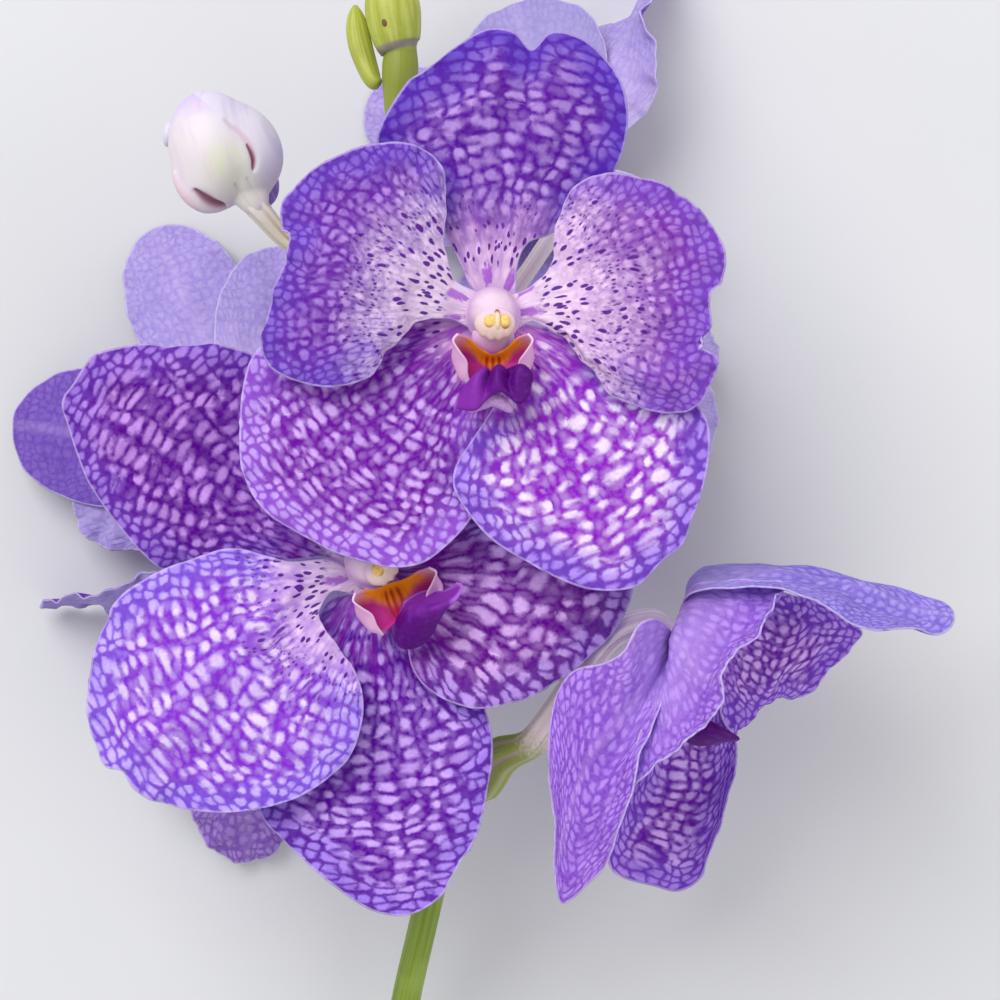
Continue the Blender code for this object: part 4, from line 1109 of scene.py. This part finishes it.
def column_material():
    """Pinkish white column, its foot in painted shade, cream anther cap, yellow pollen masses."""
    s = Shader("column_tissue")
    _, y, z = s.attribute("flow")
    zone = s.attribute("kind")[2]
    speckle = s.noise(0.7, 3)
    body = s.mix(s.ramp(z, -0.5, 4.0), "ecd4ec", "e2bce2")
    body = s.mix(s.ramp(z, 4.0, 7.0), body, "ecd0e4")
    body = s.mix(s.ramp(s.noise(2.2, 2), 0.45, 0.7) * 0.35, body, "dca8d8")
    cap = s.mix(s.ramp(y, -0.9, 0.5), "e6c4b6", "ecd0d0")
    cap = s.mix(s.ramp(speckle, 0.45, 0.7) * 0.5, cap, "efdccb")
    cap = s.mix(s.ramp(y, 0.1, 0.9), cap, "efcfe6")
    base = s.mix(s.ramp(zone, 0.4, 0.6), body, cap)
    pollen = s.mix(s.ramp(y, -0.2, -0.9), s.mix(s.ramp(speckle, 0.35, 0.65), "f3c45c", "f8da8c"), "c07a50")
    base = s.mix(s.ramp(zone, 1.4, 1.6), base, pollen)
    base = s.mix(s.ramp(zone, 2.4, 2.6), base, s.mix(s.ramp(z, 0.72, 0.92), "f4dcb4", "9a5a4a"))
    # The foot below the anther: pale pink, turned mauve toward the lip below by painted shade
    base = s.mix(s.ramp(zone, 3.4, 3.6), base, s.mix(s.ramp(y, 0.3, -1.0), "e6bcdc", "c47aac"))
    return s.finish(base, 0.42 + speckle * 0.15, speckle, 0.03, Specular_IOR_Level=0.3)


def stalk_material(name, foot, middle, top, groove):
    """A stalk that goes from its foot's colour to its top's, darker in the grooves between its ribs."""
    s = Shader(name)
    turn, length, share = s.attribute("flow")
    speckle = s.noise(0.8, 3)
    upward = share + speckle * 0.15
    tone = s.mix(s.ramp(upward, 0.32, 0.46), foot, middle)
    tone = s.mix(s.ramp(upward, 0.5, 0.9), tone, top)
    ribs = s.math("COSINE", turn * 6.0 + length * 0.03)
    tone = s.mix(s.ramp(ribs, -0.2, -0.9) * 0.35, tone, groove)
    streaks = s.noise(1.0, 2, s.vector(turn * 6.0, length * 0.06))
    tone = s.mix(s.ramp(streaks, 0.5, 0.75) * 0.3, tone, groove)
    return s.finish(tone, 0.4 + speckle * 0.2, streaks, 0.15)


def stem_material():
    """Yellow-green stem with fine lengthwise streaks."""
    s = Shader("stem_tissue")
    turn, length = s.attribute("flow")[:2]
    speckle = s.noise(0.9, 3)
    streaks = s.noise(1.0, 3, s.vector(turn * 5.0, length * 0.03))
    tone = s.mix(s.ramp(streaks, 0.35, 0.65), "748e24", "8aa236")
    tone = s.mix(s.ramp(s.noise(9.0, 2), 0.5, 0.75) * 0.5, tone, "9fb04a")
    tone = s.mix(s.ramp(speckle, 0.62, 0.75) * 0.35, tone, "5f7a28")
    return s.finish(tone, 0.38 + speckle * 0.2, streaks, 0.2)


def bud_material():
    """White bud flushed lavender at tip, green below, painted shade in folds and hollow, on a cream ribbed
    stalk.
    """
    s = Shader("bud_tissue")
    x, y, z = s.attribute("flow")
    # On the skin, side is one less the painted shade of its folds
    side, _, zone = s.attribute("kind")
    speckle = s.noise(0.8, 3)
    blush = s.noise(5.0, 2)
    veins = s.noise(1.0, 2, s.vector(x * 7.0, y * 0.9, zone))
    low = s.math("SQRT", s.math("POWER", x - 0.1, 2.0) + s.math("POWER", y + 0.55, 2.0))
    skin = s.mix(s.ramp(low, 0.75, 0.1) * 0.9, "e9dfe4", "e6e9c8")
    skin = s.mix(s.ramp(y + blush * 0.5, 0.55, 1.25), skin, "d3c0ee")
    skin = s.mix(s.ramp(blush, 0.5, 0.7) * 0.35, skin, "ecd6ea")
    skin = s.mix(s.ramp(veins, 0.52, 0.72) * 0.25, skin, "d9bfdf")
    folded = s.mix(s.ramp(veins, 0.45, 0.7) * 0.5, "e2dcec", "c8c0e0")
    stalk = s.mix(s.ramp(s.math("COSINE", x * 5.0), -0.3, -1.0) * 0.7, "ece4c2", "bc9c74")
    stalk = s.mix(s.ramp(s.math("COSINE", x), -0.4, 0.9) * 0.5, stalk, "dcdc9a")
    stalk = s.mix(s.ramp(z, 0.62, 0.88) * 0.75, stalk, "e9dfdc")
    skin = s.mix(z * 0.8, skin, folded)
    # Painted shade in the folds: the creases' own pink darkened, and dark mauve in the slit and the hollow
    skin = s.mix(s.ramp(side, 0.9, 0.5), skin, "cfa4ae")
    skin = s.mix(s.ramp(side, 0.7, 0.3), skin, "845468")
    # Painted light, pale pink, on the raised rim
    skin = s.mix(s.ramp(side, 1.03, 1.12), skin, "ecd0d8")
    tone = s.mix(s.ramp(zone, 0.4, 0.6), stalk, skin)
    tone = s.mix(s.ramp(zone, 1.4, 1.6), tone, folded)
    tone = s.mix(s.ramp(zone, 2.4, 2.6), tone, s.mix(s.ramp(veins, 0.4, 0.65), "8e6cbc", "a68ad0"))
    return s.finish(tone, 0.45 + speckle * 0.15, veins, 0.1, Specular_IOR_Level=0.35)


def green_bud_material():
    """Yellow-green bud with a greyish purple ring and a brown mark."""
    s = Shader("green_bud_tissue")
    turn, length, share = s.attribute("flow")
    speckle = s.noise(0.8, 3)
    streaks = s.noise(1.0, 2, s.vector(turn * 4.0, length * 0.08))
    zone = s.attribute("kind")[2]
    tone = s.mix(s.ramp(streaks, 0.35, 0.65), "a9b33c", "c2c85c")
    tone = s.mix(s.ramp(share, 0.48, 0.44) * zone, tone, "8f9a34")
    tone = s.mix(s.ramp(speckle, 0.6, 0.75) * 0.3, tone, "8a9432")
    ring = s.ramp(share, 0.45, 0.465) * s.ramp(share, 0.51, 0.49) * zone
    tone = s.mix(ring * 0.75, tone, "8a7a86")
    tone = s.mix(s.ramp(zone, 1.4, 1.6), tone, "7a5226")
    return s.finish(tone, 0.4 + speckle * 0.2, streaks, 0.15)


def add_flower(name, flower, number, surfaces):
    for index, tepal in enumerate(CLAW_WIDTHS):
        node = f"{name}_{tepal}"
        kind = node if node in TEPAL_LOOKS else "side" if name == "low_right" else "rear"
        add_tepal(node, flower, tepal, number * 5 + index + 1, surfaces[kind])
    add_lip(f"{name}_lip", flower, number + 1, surfaces["lip"])
    add_column(f"{name}_column", flower, number + 1, surfaces["column"])
    add_stalk(f"{name}_stalk", flower, number + 1, surfaces["stalk"])


def add_green_bud(node, places, surface, ribs, rib_depth, zone):
    centres = spots(place for place, radius in places)
    lengths = lengths_along(centres)
    radii = smooth_radii(lengths / lengths[-1], [radius for place, radius in places], 200)
    parts = [tube_parts(smooth_points(centres, TUBE_RINGS), radii, 48, 3, zone, ribs, rib_depth)]
    if zone:
        parts.append(egg_parts(spot(BUD_MARK), BUD_MARK_HALF, np.eye(3), 3, 2))
    add_piece(node, parts, surface)


def line_distance(line, across, down):
    """How far, in view units, places are from a line of seen places, on which side and how far along it."""
    line = smooth_points([(x, y, 0) for x, y in line], 40)[:, :2]
    apart = np.hypot(across[..., None] - line[:, 0], down[..., None] - line[:, 1])
    nearest = apart.argmin(axis=-1)
    way = np.gradient(line, axis=0)[nearest]
    side = way[..., 0] * (down - line[nearest, 1]) - way[..., 1] * (across - line[nearest, 0])
    return apart.min(axis=-1), np.sign(side), nearest / 39


def bud_skin(seed):
    """The bud's skin: the smooth hull of its eggs, with folds pressed into it and painted shade along them.
    """
    local = ball(SKIN_RINGS, SKIN_AROUND, 0.04)[..., [0, 2, 1]] * [1, 1, -1]
    way = local @ turned_axes(BUD_TURN)
    middle = spot(BUD_MIDDLE)
    reach = 0
    for place, half, degrees in BUD_EGGS:
        own = np.transpose(turned_axes(degrees))
        start = (middle - spot(place)) @ own / half
        step = way @ own / half
        square = (step ** 2).sum(axis=2)
        cross = step @ start
        out = (-cross + np.sqrt(np.maximum(cross ** 2 - square * (start @ start - 1), 0))) / square
        reach = reach + out ** 16
    reach = reach ** (1 / 16)
    size = unit_at(BUD_MIDDLE[2])
    across = BUD_MIDDLE[0] + way[..., 0] * reach / size
    down = BUD_MIDDLE[1] - way[..., 1] * reach / size
    front = np.clip(way[..., 2] * 3 + 0.4, 0, 1)
    # How much painted shade the folds lay on each place of the skin
    dark = np.zeros_like(reach)
    for line, half_width, depth, shade in BUD_FOLDS:
        apart, _, along = line_distance(line, across, down)
        lens = half_width * (0.35 + 0.65 * np.sin(math.pi * along))
        share = np.exp(-(apart * size / lens) ** 2) * front
        reach = reach - depth * share
        dark = dark + shade * share
    apart, side, _ = line_distance(BUD_FOLDS[0][0], across, down)
    folded = 0.5 - 0.5 * np.tanh(side * apart / 14)
    folded = folded * np.clip((BUD_NECK[1] + 8 - down) / 16, 0, 1)
    points = middle + way * reach[..., None]
    flows = np.stack([local[..., 0], local[..., 1], np.where(way[..., 2] > 0, folded, 0)], axis=2)
    # The skin's first kind value is one less its painted shade
    kinds = np.stack([1 - dark, np.full_like(dark, seed), np.ones_like(dark)], axis=2)
    values = [values.reshape(-1, 3) for values in (points, flows, kinds)]
    return values[0], ring_faces(SKIN_RINGS, SKIN_AROUND), *values[1:]


def add_opening_bud(surface):
    """The opening bud: its folded skin, the hind tepal, the small lobe at its side and the ribbed stalk."""
    centres = spots(place for place, radius in OPENING_BUD)
    first, way = off_stem(OPENING_BUD_DOWN, centres[0])
    radii = [BUD_STALK_SHARE * radius for place, radius in OPENING_BUD]
    points = [first, first + way * 3, *centres, spot(BUD_NECK)]
    lengths = lengths_along(points)
    wanted = np.linspace(0, 1, BUD_STALK_RINGS)
    fine = np.interp(wanted, lengths / lengths[-1], [STALK_RADIUS, STALK_RADIUS, *radii, BUD_NECK_RADIUS])
    stalk = tube_parts(smooth_points(points, BUD_STALK_RINGS), fine, 60, 3, 0, ribs=5, rib_depth=0.13)
    parts = [stalk, bud_skin(3)]
    for place, half, degrees, zone in BUD_HIND_EGGS:
        parts.append(egg_parts(spot(place), half, turned_axes(degrees), 3, zone, 30, 48))
    add_piece("opening_bud", parts, surface)


def add_stem(surface):
    centres, radii = stem_places()
    fine = np.interp(np.linspace(0, 1, STEM_RINGS), np.linspace(0, 1, STEM_STEPS), radii)
    parts = [tube_parts(smooth_points(centres, STEM_RINGS), fine, 40, 2, 0, ribs=5, rib_depth=0.02)]
    add_piece("stem", parts, surface)


def add_floor():
    """A plain pale floor under the spray."""
    bpy.ops.mesh.primitive_plane_add(size=4)
    floor = bpy.context.object
    floor.name = "floor"
    s = Shader("floor_pale")
    floor.data.materials.append(s.finish(s.mix(s.noise(60, 2), "dedfe0", "e4e4e5"), 0.8))


def add_light(name, place, size, power):
    light = bpy.data.lights.new(name, "AREA")
    light.size = size
    light.energy = power
    lamp = bpy.data.objects.new(name, light)
    lamp.location = place
    lamp.rotation_euler = (Vector((0, 0, 0.05)) - Vector(place)).to_track_quat("-Z", "Y").to_euler()
    bpy.context.scene.collection.objects.link(lamp)


def add_camera():
    """The eye that the places are written for, looking straight down."""
    camera = bpy.data.objects.new("camera", bpy.data.cameras.new("camera"))
    camera.location = [-SPRAY_MIDDLE[0] * MM, -SPRAY_MIDDLE[1] * MM, (EYE_HEIGHT - SPRAY_MIDDLE[2]) * MM]
    camera.data.angle = 2 * math.atan(0.5 * VIEW_UNITS * VIEW_UNIT / (EYE_HEIGHT - FACE_HEIGHT))
    camera.data.clip_start = 0.01
    bpy.context.scene.collection.objects.link(camera)
    bpy.context.scene.camera = camera


def add_surroundings():
    world = bpy.data.worlds.new("soft_studio")
    world.use_nodes = True
    background = world.node_tree.nodes["Background"]
    background.inputs[0].default_value = (0.96, 0.97, 1.0, 1)
    background.inputs[1].default_value = 0.55
    bpy.context.scene.world = world
    bpy.context.scene.view_settings.view_transform = "Standard"
    add_light("key", (-0.5, 0.7, 1.1), 0.9, 12)
    add_light("fill", (0.9, -0.4, 0.9), 1.2, 4)
    add_floor()
    add_camera()


def main():
    surfaces = {name: tepal_material(name + "_tissue", look) for name, look in TEPAL_LOOKS.items()}
    surfaces["lip"] = lip_material()
    surfaces["column"] = column_material()
    surfaces["stalk"] = stalk_material("stalk_tissue", "98a63e", "eadcd4", "f6eaf2", "d8aec8")
    for number, (name, flower) in enumerate(FLOWERS.items()):
        add_flower(name, flower, number, surfaces)
    add_stem(stem_material())
    add_opening_bud(bud_material())
    green = green_bud_material()
    add_green_bud("large_green_bud", LARGE_GREEN_BUD, green, 3, 0.02, 1)
    add_green_bud("slender_green_bud", SLENDER_GREEN_BUD, green, 3, 0.05, 0)
    add_surroundings()


main()
